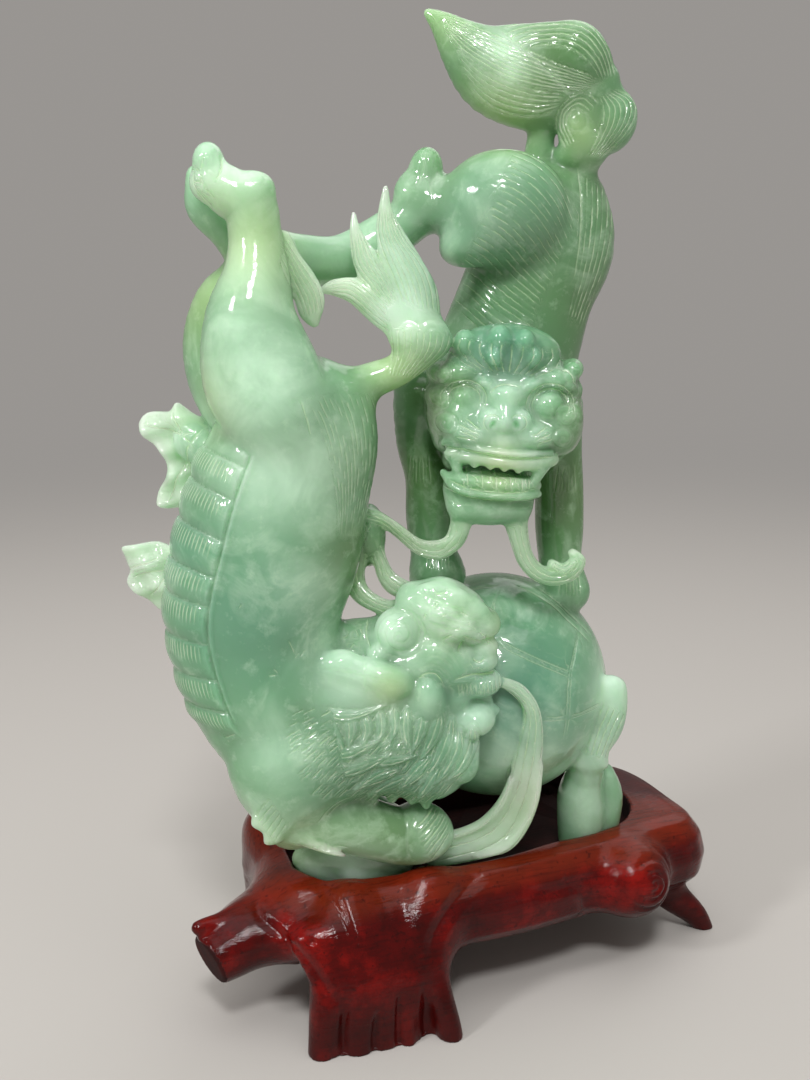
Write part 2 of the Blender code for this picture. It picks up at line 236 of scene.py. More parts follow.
def sheet(block, name, outline, middle, half_depth, blend=1.5, crumple=0.0):
    """A thin leaf or cloth: an outline in x and z, spread each side of a middle depth, crumpled or flat."""
    outline = through([*outline, outline[0]], 3)[:-1]
    low, high = outline.min(0) - 3, outline.max(0) + 3
    room = half_depth + crumple + blend + 2
    slices, x, y, z = block.window((low[0], middle - room, low[1]), (high[0], middle + room, high[1]))
    edge = off_edge(outline, x[:, :, 0], z[:, 0, :])[:, None, :]
    fold = crumple * (np.sin(x * 0.55 + z * 0.35) + 0.6 * np.sin(z * 0.9 - x * 0.3 + 1))
    face = np.abs(y - middle - fold) - half_depth
    soft = half_depth * 0.9
    corner = np.hypot(np.maximum(edge + soft, 0), np.maximum(face + soft, 0))
    distance = corner + np.minimum(np.maximum(edge, face) + soft, 0) - soft
    block.add(slices, distance.astype(np.float32), blend, name)


jade = Block(BLOCK_LOW, BLOCK_HIGH, CUTTING_GRID)

# the lower dog: trunk from rump to chest, belly to the left
TRUNK_ROWS = [
    (-24.5, -6, 162, 17.5, 14), (-27, -7, 155, 20.5, 16), (-31.5, -8, 142, 22.6, 17),
    (-35, -8, 128, 23.8, 18), (-39, -8, 113, 23, 18), (-38.8, -8, 101, 22, 17), (-35.5, -9, 88, 20.5, 17),
    (-31, -10, 79, 18, 16), (-27, -11, 72, 14, 14),
]
limb(jade, "trunk", TRUNK_ROWS)
limb(jade, "near_leg", [
    (-26.5, -13, 154, 12, 11), (-31.5, -15, 163, 14, 12.6), (-35.6, -14, 172, 14.6, 13),
    (-37.8, -13, 184, 11.4, 12), (-36.3, -12, 195, 8.2, 9), (-36.5, -11, 204, 6.6, 7),
    (-37.6, -11, 212.2, 6.6, 6.5), (-41.4, -11, 214.6, 6.2, 6.5), (-46, -11, 217.8, 5.4, 6),
], blend=2.5)
mass(jade, "near_leg", (-36, -12, 216.4), (4.6, 5, 3.8), blend=2)
for centre, radii in (((-47.4, -11, 222.4), (3.8, 5.6, 4.7)), ((-47.6, -11.4, 217.4), (4.3, 5.4, 4.4))):
    mass(jade, "near_foot", centre, radii, blend=1.4)
limb(jade, "far_leg", [
    (-38.6, 0, 158, 10, 10), (-45, 2, 168, 10.5, 10), (-46.5, 4, 178, 11, 10), (-45.5, 5, 187, 9.4, 9),
    (-43, 5, 193, 6.6, 7), (-41, 5, 199, 5, 6), (-45, 3, 206, 4.4, 5), (-50.4, 1, 212, 4.5, 4.5),
    (-51.4, 1, 217, 3.8, 4.2), (-52, 1, 220, 2.8, 3.4),
], blend=1.5)
limb(jade, "hock_hair", [
    (-29.6, -8, 205, 1.4, 2), (-27.9, -8, 199.5, 2.4, 2.4), (-25.4, -8, 194.5, 3.4, 2.2),
    (-23.6, -8, 190, 3.7, 2), (-23.4, -8, 186.6, 3, 1.8), (-22.6, -8, 184, 1.4, 1.2),
], blend=1.2)
# shoulder, folded arm, forearm and paw along the bed
mass(jade, "shoulder", (-29.5, -15, 72.5), (17, 13.5, 17.5), blend=1.4)
limb(jade, "shoulder", [(-30.5, -14, 67, 13.6, 13), (-31.5, -14, 59, 8.6, 11), (-30, -13, 55, 8, 9)], blend=3)
limb(jade, "forearm", [
    (-28, -13, 56, 8, 9), (-17, -12, 53.2, 8, 8.5), (-8, -11, 50.4, 7.8, 8), (-1, -10, 48.4, 7.8, 7.6),
    (4, -9, 49, 8.4, 8), (7.4, -9, 48.4, 5.8, 6.6),
], blend=2)
sheet(jade, "elbow_hair", [
    (-40.4, 66), (-38.6, 61.4), (-39.6, 57.4), (-36.6, 55.2), (-36.2, 52), (-32.4, 52.4), (-31, 55),
    (-28.6, 58.6), (-30, 64), (-34, 67),
], -23, 2, blend=1.5)
mass(jade, "elbow_hair", (-35, -19, 59.4), (4, 4.6, 5), blend=1.5)
sheet(jade, "elbow_hair", [
    (-32, 55), (-31, 52), (-26, 50.2), (-20.5, 48.3), (-14.6, 47.2), (-17.4, 49), (-22, 51.6), (-26, 55),
], -20.6, 1.7, blend=1)
mass(jade, "slab", (-14, -4, 39), (17, 7.5, 7.5), blend=1)
limb(jade, "far_arm", [(-24, 0, 68, 10, 9), (-18, 8, 55, 7, 7), (-10, 12, 45, 6.5, 6.5), (-1, 14, 38, 7, 7)])
# its flame tail, three flickering tongues on a double scroll
limb(jade, "tail_stem", [
    (-14, -5, 166.5, 6, 5.6), (-8, -4, 169.6, 4.6, 4.8), (-2, -3.5, 172, 4.2, 4.3), (3, -3, 176, 4.6, 4.3),
], blend=3)
TAIL_LOBES = {
    "tail_left": [
        (0, -3.5, 183, 4.4, 4), (-6, -3.8, 187.6, 4.5, 3.4), (-12, -3.8, 191.6, 3.4, 2.6),
        (-17.5, -3.5, 192.6, 2.2, 1.8), (-21.2, -3, 191.8, 0.8, 0.9),
    ],
    "tail_middle": [
        (-1, -3.5, 186, 5, 3.6), (-5.5, -3.5, 193, 4.7, 3.2), (-9.8, -3.5, 199.5, 3.4, 2.6),
        (-12.2, -3.3, 205.5, 1.7, 1.8), (-12.8, -3, 210.8, 0.6, 0.7),
    ],
    "tail_main": [
        (4, -3, 184, 5, 4.5), (2.4, -3, 190.5, 6, 4.2), (-0.6, -3, 198, 5, 3.6), (-3.6, -3, 205, 3.7, 2.8),
        (-4.9, -3, 211, 1.9, 1.9), (-4.8, -3, 217, 0.7, 0.8),
    ],
}
for name, rows in TAIL_LOBES.items():
    limb(jade, name, rows, blend=0.8)
mass(jade, "tail_knob", (1.6, -4, 180), (5.6, 4.8, 4.8), blend=2.2)
mass(jade, "tail_knob", (6.8, -3.8, 179.8), (5.1, 4.8, 5.4), blend=2.2)
# its head, lying on its cheek: crown to the top, nose and chin to the right, mane spread below the ear
mass(jade, "head", (6, -4, 96), (17, 14, 17))
for centre, radii, lean in (
        ((9.5, -7, 110.8), (10, 9, 7.8), 8), ((2.6, -9, 112.4), (5.2, 6.4, 5.8), -20),
        ((9.4, -10, 114.4), (5.4, 5.6, 5), 0), ((15.6, -10, 111), (5.6, 5.8, 5), 30),
        ((20.6, -9.4, 107.4), (4.4, 6, 4), 30), ((10.4, -14.4, 107.6), (6.4, 4, 4), 20),
        ((17.4, -13, 105.6), (3.6, 4, 2.8), 10), ((6, -14, 111.4), (3.6, 3.2, 4), -30)):
    mass(jade, "crown", centre, radii, lean, blend=1.6)
for x, y, z in (
        (6, -13, 116), (13, -13.6, 114.6), (18.4, -13.4, 110.8), (9.6, -17, 111.4), (14.4, -16.6, 107.6)):
    mass(jade, "crown", (x, y, z), (3.3, 2.2, 2.6), blend=2)
mass(jade, "head_curl", (-1.2, -12.4, 106), (6.7, 4.6, 6.3), blend=1.6)
mass(jade, "head_curl", (-1.8, -15, 105.6), (3.8, 2.7, 3.5), blend=1.6)
# the neck fills the gap under the streamer's struts, as far as the chest
limb(jade, "neck", [
    (-21, -4, 93, 7, 7), (-16, -4.6, 99.6, 6.4, 7), (-10, -5.4, 101.4, 6, 7), (-3, -6, 102, 6, 7),
], blend=2.4)
mass(jade, "head", (8, -11, 97), (8.5, 7.5, 7.5), blend=3)
for centre, radii, lean in (
        ((7.6, -15.2, 100.6), (4.4, 3.6, 3.8), 30), ((12.2, -15, 98), (3.2, 3.2, 3.8), 10),
        ((-6.2, -13.4, 100.6), (3.6, 3, 2.4), 0)):
    mass(jade, "brow_ridge", centre, radii, lean, blend=1.2)
for centre, radii in (
        ((20, -9, 101), (4.4, 6, 3)), ((19.6, -10, 97.6), (4.7, 6.4, 3.2)),
        ((15.6, -13, 99.6), (2.4, 3.2, 2.8))):
    mass(jade, "nose", centre, radii, blend=1.2)
mass(jade, "muzzle", (18.6, -9.4, 91.6), (6.9, 7.8, 4.2), blend=1.2)
mass(jade, "muzzle", (13.8, -12.4, 89), (3.6, 5, 3.6), blend=1.6)
limb(jade, "muzzle", [(21, -11, 88, 1.6, 1.8), (22.4, -11, 86.4, 0.8, 1)], blend=0.8)
mass(jade, "jaw", (16.2, -10.6, 82), (5.8, 6.4, 5), blend=1)
mass(jade, "jaw", (17.8, -12, 82), (6, 6.6, 4.7), lean=-10, blend=0.6)
limb(jade, "jaw", [(18, -10, 84.4, 3.6, 5), (21, -10, 84, 2.8, 4), (24.2, -9.6, 83.8, 0.9, 2)], blend=0.8)
mass(jade, "muzzle", (13.6, -11.4, 95), (6, 7, 5.6), blend=2)
mass(jade, "eye", (6.2, -17.8, 90.4), (3.9, 4, 5.2), lean=-14, blend=0.9)
mass(jade, "head", (6, -11, 84), (10, 8, 10), blend=3)
for centre, radii, lean in (
        ((-16.6, -17.6, 98), (5.6, 4, 4.4), -8), ((-10.6, -17.6, 96.4), (5.4, 4, 3.9), 8),
        ((-3.8, -18, 94.2), (6, 4, 3.9), 12), ((-6, -18.6, 96.2), (4, 3.6, 2.6), 14)):
    mass(jade, "ear", centre, radii, lean, blend=1.8)
mass(jade, "mane", (-10, -12, 76.5), (22.5, 12, 15), blend=6)
mass(jade, "mane", (-16, -11, 88), (12, 11, 9), blend=6)
mass(jade, "mane", (5, -11, 70), (12.6, 10.4, 10.4), blend=3)
for root_x, tip_x, tip_z in (
        (-13, -13.4, 61.6), (-9, -8.6, 60.4), (-4, -3.4, 60.6), (1, 1.8, 60.2), (4, 5.6, 58.8),
        (7, 9.4, 62.6), (9, 12.6, 65.4), (11, 15.4, 68.6), (12, 17, 72), (12, 18.4, 76)):
    limb(jade, "mane", [
        (root_x, -15, 76, 4.4, 4.5), ((root_x + tip_x) / 2, -15.4, 70, 3.8, 4),
        (tip_x, -13.6, tip_z, 1.2, 1.6),
    ], blend=1.4)
# the ball, the ribbons and the streamers
BALL_CENTRE = (26, 25, 80)
BALL_RADIUS = 32
mass(jade, "ball", BALL_CENTRE, (BALL_RADIUS,) * 3, blend=1)
MOUTH_RIBBON = [
    (25, -8, 91, 1.3, 1.8), (29.6, -8, 88.6, 2, 1.6), (32.8, -7.6, 84.6, 2.1, 1.5), (34, -7, 80, 2.5, 1.4),
    (33.7, -6, 74, 3.4, 1.3), (33, -4.6, 67, 3.9, 1.3), (31.8, -3.4, 59.5, 4.3, 1.4),
    (29.4, -2.6, 52.4, 5.2, 1.6), (25.8, -2.4, 46.6, 5.9, 1.9), (20.4, -2.4, 43.4, 5.3, 2.2),
    (14, -3, 42, 5, 2.8), (8, -4, 41, 4.6, 3.4),
]
limb(jade, "mouth_ribbon", MOUTH_RIBBON, blend=0.8)
for rows in (
        [(36.4, -4.4, 66, 0.8, 1.2), (35.4, -4, 57, 1.2, 1.6), (32.4, -3.6, 48.6, 1.5, 1.8),
         (27.6, -3.6, 42.4, 1.5, 1.8), (20, -4, 40, 1, 1.4)],
        [(28.6, -4.6, 62, 0.7, 1.0), (25.8, -4.2, 54.6, 1.1, 1.5), (21, -4.2, 49.4, 1.2, 1.7),
         (13.6, -5, 46.4, 1.1, 1.5)]):
    limb(jade, "mouth_ribbon", rows, blend=1.2)
POST_STRAP = [
    (57.4, 13.4, 82.2, 3.8, 3.4), (57.6, 12.8, 77, 4.3, 3.6), (56.6, 12.6, 71.5, 4.3, 3.8),
    (53.6, 12.8, 66, 4, 4), (52.4, 14, 61, 4.3, 4.4), (52, 15.6, 57, 4.8, 4.8),
]
limb(jade, "post_strap", POST_STRAP, blend=1)
sheet(jade, "post_strap", [
    (53.2, 85.4), (61.2, 84.4), (61.8, 75.6), (60, 68.5), (57.2, 63.8), (57, 59), (48.4, 59), (49, 63.8),
    (52.6, 72), (52.8, 78),
], 12.4, 3, blend=2)
limb(jade, "post_foot", [
    (52.8, 17, 58, 4.3, 5.4), (51, 19, 49.5, 6.3, 7), (51.3, 20, 43.5, 7, 7.4), (51.2, 20, 35, 6.4, 7),
], blend=1)
limb(jade, "post_heel", [
    (57.6, 22, 53, 3.6, 4.6), (59.6, 23, 46.5, 4.2, 5.4), (58.8, 23, 38, 4.2, 5.4),
], blend=1)
RIBBON_ENDS = {
    "ribbon_end_top": [
        (-69, 158.2), (-67, 160.8), (-61, 161.2), (-59.3, 163.6), (-57.2, 162.4), (-51.7, 158.4),
        (-46, 155), (-47, 148), (-53.2, 146.4), (-55.4, 142.4), (-57.4, 137), (-61.2, 135.4), (-65, 136.6),
        (-64.8, 140.4), (-62, 144.8), (-62.6, 149), (-65, 152.4), (-68, 154.8),
    ],
    "ribbon_end_low": [
        (-75.2, 124.4), (-74.2, 125.8), (-67.3, 126.6), (-62.6, 125.8), (-57, 124), (-56, 112), (-61, 109),
        (-64.6, 107.8), (-67.8, 109.8), (-73.4, 114.4), (-74, 116.6), (-73, 118.9), (-74.4, 121.8),
    ],
}
for name, outline in RIBBON_ENDS.items():
    sheet(jade, name, outline, 0.5, 1.7, crumple=1.3)
mass(jade, "ribbon_end_top", (-55, -1, 153), (4.6, 3.4, 5.6), lean=-30, blend=2)
STREAMERS = {
    "streamer_left": [
        (14.6, -2, 132, 2.8, 2.4), (13, -2, 127.6, 2.6, 1.9), (8.8, -2, 124.4, 2.1, 1.7),
        (3.6, -2, 125.4, 1.7, 1.6), (-1, -1, 129, 1.6, 1.5), (-6, 0, 132.8, 1.6, 1.5),
        (-10.8, -1, 134.2, 1.5, 1.6), (-14, -2, 133, 1.6, 1.8),
    ],
    "streamer_strand": [
        (15.4, -3, 131, 1, 1.3), (13.4, -3.4, 128.8, 1, 1.2), (8.4, -3.2, 127, 0.9, 1),
        (3.4, -3, 127.6, 0.8, 1), (-2, -2, 131.4, 0.8, 1), (-7.6, -1.4, 134.6, 0.8, 1),
    ],
    "strut_outer": [
        (-9, -1, 133, 1.8, 1.8), (-12, -1, 126, 2.4, 2), (-13.4, -1, 118, 2.8, 2),
        (-11.6, -3, 113.4, 2.6, 2), (-6.4, -5, 110.6, 2.2, 1.8), (-2, -6, 110, 2.4, 2),
    ],
    "strut_inner": [
        (-9, 0, 128, 1.8, 1.8), (-6.6, -1, 122, 1.9, 1.7), (-5.2, -2, 118.4, 2.3, 1.7),
        (-2.6, -3, 115.6, 2.7, 1.8), (2, -4, 114, 2.4, 2),
    ],
    "streamer_right": [
        (29, -2, 132.4, 3.1, 2.2), (30.4, -1, 126.4, 2.5, 1.9), (32.2, 0, 121.6, 2.4, 1.9),
        (35.6, 1, 118, 2.4, 2.2), (40, 2, 116.7, 2.3, 2.8), (44.4, 3, 117.9, 2.2, 3),
        (46.6, 4, 120.8, 1.7, 3), (44.8, 5, 122.8, 1.2, 2.4),
    ],
    "streamer_scroll": [(39, 1.4, 120.6, 1.2, 2.4), (42, 1.6, 118.9, 1.6, 3), (44.4, 2.4, 120.6, 1.2, 2.6)],
}
for name, rows in STREAMERS.items():
    limb(jade, name, rows, blend=1.0)
mass(jade, "strut_root", (-9.6, 3, 128), (4.6, 6, 8.5), blend=2)
# the upper dog, standing on the ball
limb(jade, "torso", [
    (38.5, 24, 213, 16, 14), (38, 24, 204, 18.5, 16.5), (33.5, 24, 192, 18, 16.5), (29, 23, 178, 19, 16),
    (25, 22, 165, 20, 15), (24, 22, 152, 17, 13),
])
mass(jade, "haunch", (25.2, 10, 212.8), (16.6, 13, 14.6), blend=4)
mass(jade, "haunch", (17, 9, 204), (8.4, 9, 6), lean=-20, blend=4)
limb(jade, "upper_hind_leg", [
    (24, 13, 211, 5, 5), (15, 12.4, 213, 6.6, 7), (7, 13, 214, 7, 7.5), (3.6, 14, 217, 6.2, 6.5),
], blend=3)
for centre, radii, lean in (
        ((5.4, 13, 222.6), (4.4, 4.6, 5.6), 8), ((0.8, 12, 215.6), (3.6, 4.6, 4.4), -10),
        ((8.2, 12.6, 218.4), (3.2, 4.4, 3.6), 0), ((1.6, 12, 209.8), (3.6, 4.6, 3.6), 20)):
    mass(jade, "upper_foot", centre, radii, lean, blend=1.4)
limb(jade, "upper_hind_leg", [
    (4, 14, 212, 6, 7), (-6, 14, 205, 6.4, 6.6), (-17, 10, 199.5, 6.4, 6.2), (-27, 2, 200, 6, 6),
    (-32, -3, 202, 5, 5),
])
mass(jade, "far_haunch", (41, 36, 206), (14, 11, 15))
limb(jade, "far_haunch", [(46, 42, 202, 7, 6), (48, 44, 192, 6, 6), (40, 42, 182, 6, 6), (34, 40, 178, 5, 5)])
limb(jade, "left_foreleg", [
    (6, 22, 163, 9.5, 10), (3.5, 21, 151, 6, 7), (6, 20, 141, 6, 6.5), (7, 20, 130, 6.8, 6.8),
    (8, 20, 120, 6.5, 7), (9, 18, 114, 8, 8),
])
limb(jade, "right_foreleg", [
    (41, 22, 160, 8, 9), (42, 22, 148, 7, 7.5), (43, 23, 138, 6.8, 7), (43.5, 24, 126, 6.8, 6.8),
    (44, 24, 116, 6, 6.5), (46, 23, 108, 6.5, 7),
])
limb(jade, "plume", [
    (50, 18, 238, 8, 7), (42, 18, 245.4, 13, 9), (32, 18, 246, 13.2, 9), (23, 18, 247.8, 11.2, 7.5),
    (16, 17, 252.6, 7.4, 5), (10, 17, 258.4, 3.5, 3), (6, 17, 261.4, 1.3, 1.3),
])
mass(jade, "plume", (43, 15, 250), (9.6, 8, 9.2), lean=40, blend=2)
mass(jade, "plume_root", (53, 18, 235), (7.4, 7.6, 8.6), lean=20, blend=1)
mass(jade, "plume_root", (47.6, 17, 229.6), (6.4, 6.6, 6.6), lean=20, blend=1)
mass(jade, "plume_root", (44, 17, 226.6), (5, 5, 3.6), blend=1.5)
mass(jade, "plume_knob", (44.4, 14.4, 233.4), (5, 4.4, 6.4), lean=10, blend=2)
limb(jade, "plume_stem", [(34.6, 21, 222, 4, 4), (36, 19, 234, 3.4, 3.6)])
limb(jade, "plume_stem", [(45, 22, 214, 5, 5), (47, 18, 226, 4, 4.4)])
# its face, a broad mask: rounded brows, a wide nose with curled nostrils, an open mouth over a square chin
for centre, radii, lean in (
        ((25.6, 9, 165), (18, 15, 14), 0), ((24, 2, 156.5), (13.4, 10.5, 7), 5),
        ((15, 2, 159), (6.5, 9.5, 9), 0), ((40, 3, 158), (6.5, 9.5, 9), 0),
        ((24.5, 0, 150), (12.6, 8, 5), 4)):
    mass(jade, "face", centre, radii, lean, blend=4)
for centre, radii, lean in (((13, 8, 163), (7.4, 9.6, 13), 8), ((40.6, 8, 162), (5.6, 9.6, 13), -8)):
    mass(jade, "side_curl", centre, radii, lean, blend=2)
for centre, radii, lean in (
        ((14.2, 1, 171), (6, 6.4, 4.2), -8), ((38.4, 0.8, 169.4), (6, 6.4, 3.8), 10),
        ((20.6, -3.4, 168.7), (2.8, 3.6, 1.7), 24), ((32.2, -3.4, 168.4), (2.8, 3.6, 1.7), -20)):
    mass(jade, "brow", centre, radii, lean, blend=1.6)
mass(jade, "eye_left", (15.2, -3.4, 165), (3.2, 3.4, 2.7), blend=0.7)
mass(jade, "eye_right", (37, -3.4, 163), (3.9, 4, 3.6), blend=0.7)
mass(jade, "face", (41.6, 0, 160.4), (4, 6, 3.6), blend=1.5)
mass(jade, "bridge", (25.8, -4.4, 166), (5, 4.2, 2.7), blend=1.4)
limb(jade, "bridge", [(25.6, -5.4, 165, 3.8, 3.4), (25.4, -7, 161.5, 2.8, 3.2)], blend=1.6)
for centre, radii, lean in (
        ((21.7, -6.6, 159.5), (3.2, 3.9, 3.3), 20), ((28.9, -6.6, 159.3), (3.4, 3.9, 3.2), -24),
        ((25.2, -8, 159.6), (2.4, 3.4, 3.1), 0)):
    mass(jade, "bridge", centre, radii, lean, blend=1.0)
for centre, lean in (((22.1, -10.6, 158.7), 24), ((28.1, -10.6, 158.7), -24)):
    mass(jade, "bridge", centre, (0.7, 2.2, 1.5), lean, blend=0.5, cut=True)
for centre, radii, lean in (
        ((17.2, -3.8, 156), (6.4, 5.8, 3.3), 8), ((32.8, -3.6, 155.4), (6.4, 5.8, 3.5), 4),
        ((25, -5, 154.4), (4, 4, 2.4), 4)):
    mass(jade, "snout", centre, radii, lean, blend=1.4)
limb(jade, "lip", [
    (10.8, -1, 153.3, 0.8, 2.4), (16.9, -5.6, 152.6, 0.8, 2.8), (23.5, -7.6, 151.7, 0.8, 2.8),
    (30.2, -7, 151.1, 0.8, 2.8), (37, -3.2, 151, 0.8, 2.4),
], blend=0.5)
limb(jade, "gums", [
    (12.2, -2, 150.3, 1.9, 3), (18, -5, 149.9, 1.9, 3.2), (25, -6.4, 149.1, 1.9, 3.2),
    (32, -5.4, 148.4, 2, 3.2), (37.4, -2.2, 149, 2, 3),
], blend=0.6)
for rows in (
        [(12.6, -3, 149.5, 1.7, 2.4), (13.4, -4, 147, 1.4, 2), (13.6, -4.4, 144.6, 0.9, 1.4)],
        [(36, -3.6, 148.8, 2.3, 2.4), (34.4, -5, 146, 1.7, 2.2), (33, -5.4, 142.8, 0.9, 1.5)]):
    limb(jade, "fangs", rows, blend=0.6)
mass(jade, "throat", (24, 10, 144), (11, 8, 10))
limb(jade, "lower_teeth", [
    (12.4, -2.6, 144.2, 1.8, 3), (17, -5.4, 143.8, 1.9, 3), (23, -6.6, 143.2, 1.9, 3),
    (29, -5.8, 142.9, 1.9, 3), (33, -3, 142.6, 1.7, 3),
], blend=0.5)
limb(jade, "lower_lip", [
    (10.8, -0.4, 144.4, 1.2, 3.2), (12.8, -3.6, 142.3, 1.3, 2.8), (16.4, -6, 141.2, 1.2, 2.8),
    (23.6, -7.4, 140.5, 1.2, 2.8), (30, -6.2, 140.1, 1.3, 2.8), (33, -2.6, 140.1, 1.3, 3),
], blend=0.6)
limb(jade, "chin", [(22, 0, 141, 12.2, 6.6), (22, -0.8, 138, 11.6, 6.2), (22, -1, 136, 10.4, 4.6)], blend=1)
for x in (14.4, 18, 22, 26, 29.8):
    y, z = -2 - 0.03 * (14 - abs(x - 22)) ** 1.6, 136 + 0.4 * (abs(x - 22) < 5)
    mass(jade, "chin", (x, y, z), (3, 3.6, 3), blend=2)
limb(jade, "gums", [
    (15.6, -7, 147.2, 0.7, 7), (19.4, -8, 147.1, 0.8, 7), (23.5, -8, 146.6, 0.85, 7),
    (27.5, -8, 146.1, 0.95, 7), (30.8, -7, 145.3, 0.9, 7),
], blend=0.3, cut=True)
for x, z in ((17.8, 148), (21.8, 147.6), (25.4, 147.1), (29, 146.6)):
    mass(jade, "gums", (x, -6.6 + (x - 24) ** 2 * 0.02, z), (1.1, 2, 0.7), blend=0.3)
mass(jade, "tuft", (25.8, 2, 176), (14.4, 8, 7.6), blend=2.5)
for x, y, z, radius in (
        (23.8, -4, 179.8, 3.1), (22.6, -6, 175.6, 2.1), (30.2, -4, 179.2, 2.7), (15.2, -1.6, 178.8, 2.9),
        (32.6, -4.4, 175.4, 2.1)):
    mass(jade, "tuft", (x, y, z), (radius, radius + 1, radius * 1.2), blend=1.4)
FORELOCK = (
    [(11.4, 180.4), (10.6, 177.4), (14, 174.6), (18.6, 172)],
    [(39.8, 177.4), (40.4, 174.8), (37, 172), (32.6, 170.4)])
for x, y, z, radius in (
        (43.6, 4, 171.8, 2.8), (43.6, 5, 166.4, 2.8), (41.8, 6, 160.8, 2.9), (41, 6, 154.8, 3),
        (39.4, 7, 149.4, 2.7), (8.4, 6, 171, 3), (8, 7, 165, 3), (9.8, 8, 158.6, 3), (10.6, 8, 152.6, 3),
        (12.6, 8, 147.6, 2.8)):
    mass(jade, "side_curl", (x, y, z), (radius, radius + 2, radius), blend=1.4)

# worn smooth, then sawn flat underneath
jade.ease(1)
slices, _, _, z = jade.window(BLOCK_LOW, (BLOCK_HIGH[0], BLOCK_HIGH[1], SEAT_HEIGHT + 2))
jade.outside[slices] = np.maximum(jade.outside[slices], SEAT_HEIGHT - z)


def skin(block):
    """The carved surface: its points, its four-sided faces and the part that each point belongs to."""
    outside, counts = block.outside, block.counts
    cell_ids, cut_points, rings = [], [], []
    for axis in range(3):
        start = [slice(None)] * 3
        end = [slice(None)] * 3
        start[axis], end[axis] = slice(0, -1), slice(1, None)
        crossing = (outside[tuple(start)] < 0) != (outside[tuple(end)] < 0)
        at = np.argwhere(crossing)
        one = outside[tuple(at.T)]
        after = at.copy()
        after[:, axis] += 1
        two = outside[tuple(after.T)]
        cut_point = at.astype(np.float32)
        cut_point[:, axis] += one / (one - two)
        p, q = (axis + 1) % 3, (axis + 2) % 3
        cells = []
        for back_p, back_q in ((0, 0), (1, 0), (1, 1), (0, 1)):
            cell = at.copy()
            cell[:, p] -= back_p
            cell[:, q] -= back_q
            cells.append(np.ravel_multi_index(cell.T, counts))
        cells = np.array(cells).T
        rings.append(np.where((one < 0)[:, None], cells, cells[:, ::-1]))
        cell_ids.append(cells.ravel())
        cut_points.append(np.repeat(cut_point, 4, axis=0))
    cell_ids = np.concatenate(cell_ids)
    cut_points = np.concatenate(cut_points)
    used, index = np.unique(cell_ids, return_inverse=True)
    number = np.bincount(index)
    points = np.stack([np.bincount(index, cut_points[:, k]) / number for k in range(3)], axis=1)
    faces = np.searchsorted(used, np.concatenate(rings))
    nearest = np.minimum(np.round(points).astype(int), counts - 1)
    return points * block.grid + block.low, faces, block.owner[tuple(nearest.T)]


def outward_of(points, faces):
    """The way that the surface faces at each point."""
    square = np.cross(points[faces[:, 2]] - points[faces[:, 0]], points[faces[:, 3]] - points[faces[:, 1]])
    total = [np.bincount(faces.ravel(), np.repeat(square[:, k], 4), len(points)) for k in range(3)]
    total = np.stack(total, axis=1)
    return total / np.maximum(np.linalg.norm(total, axis=1), 1e-9)[:, None]


def ease_in(value, low, high):
    """0 below low and 1 above high, with a soft start and end."""
    share = np.clip((value - low) / (high - low), 0, 1)
    return share * share * (3 - 2 * share)


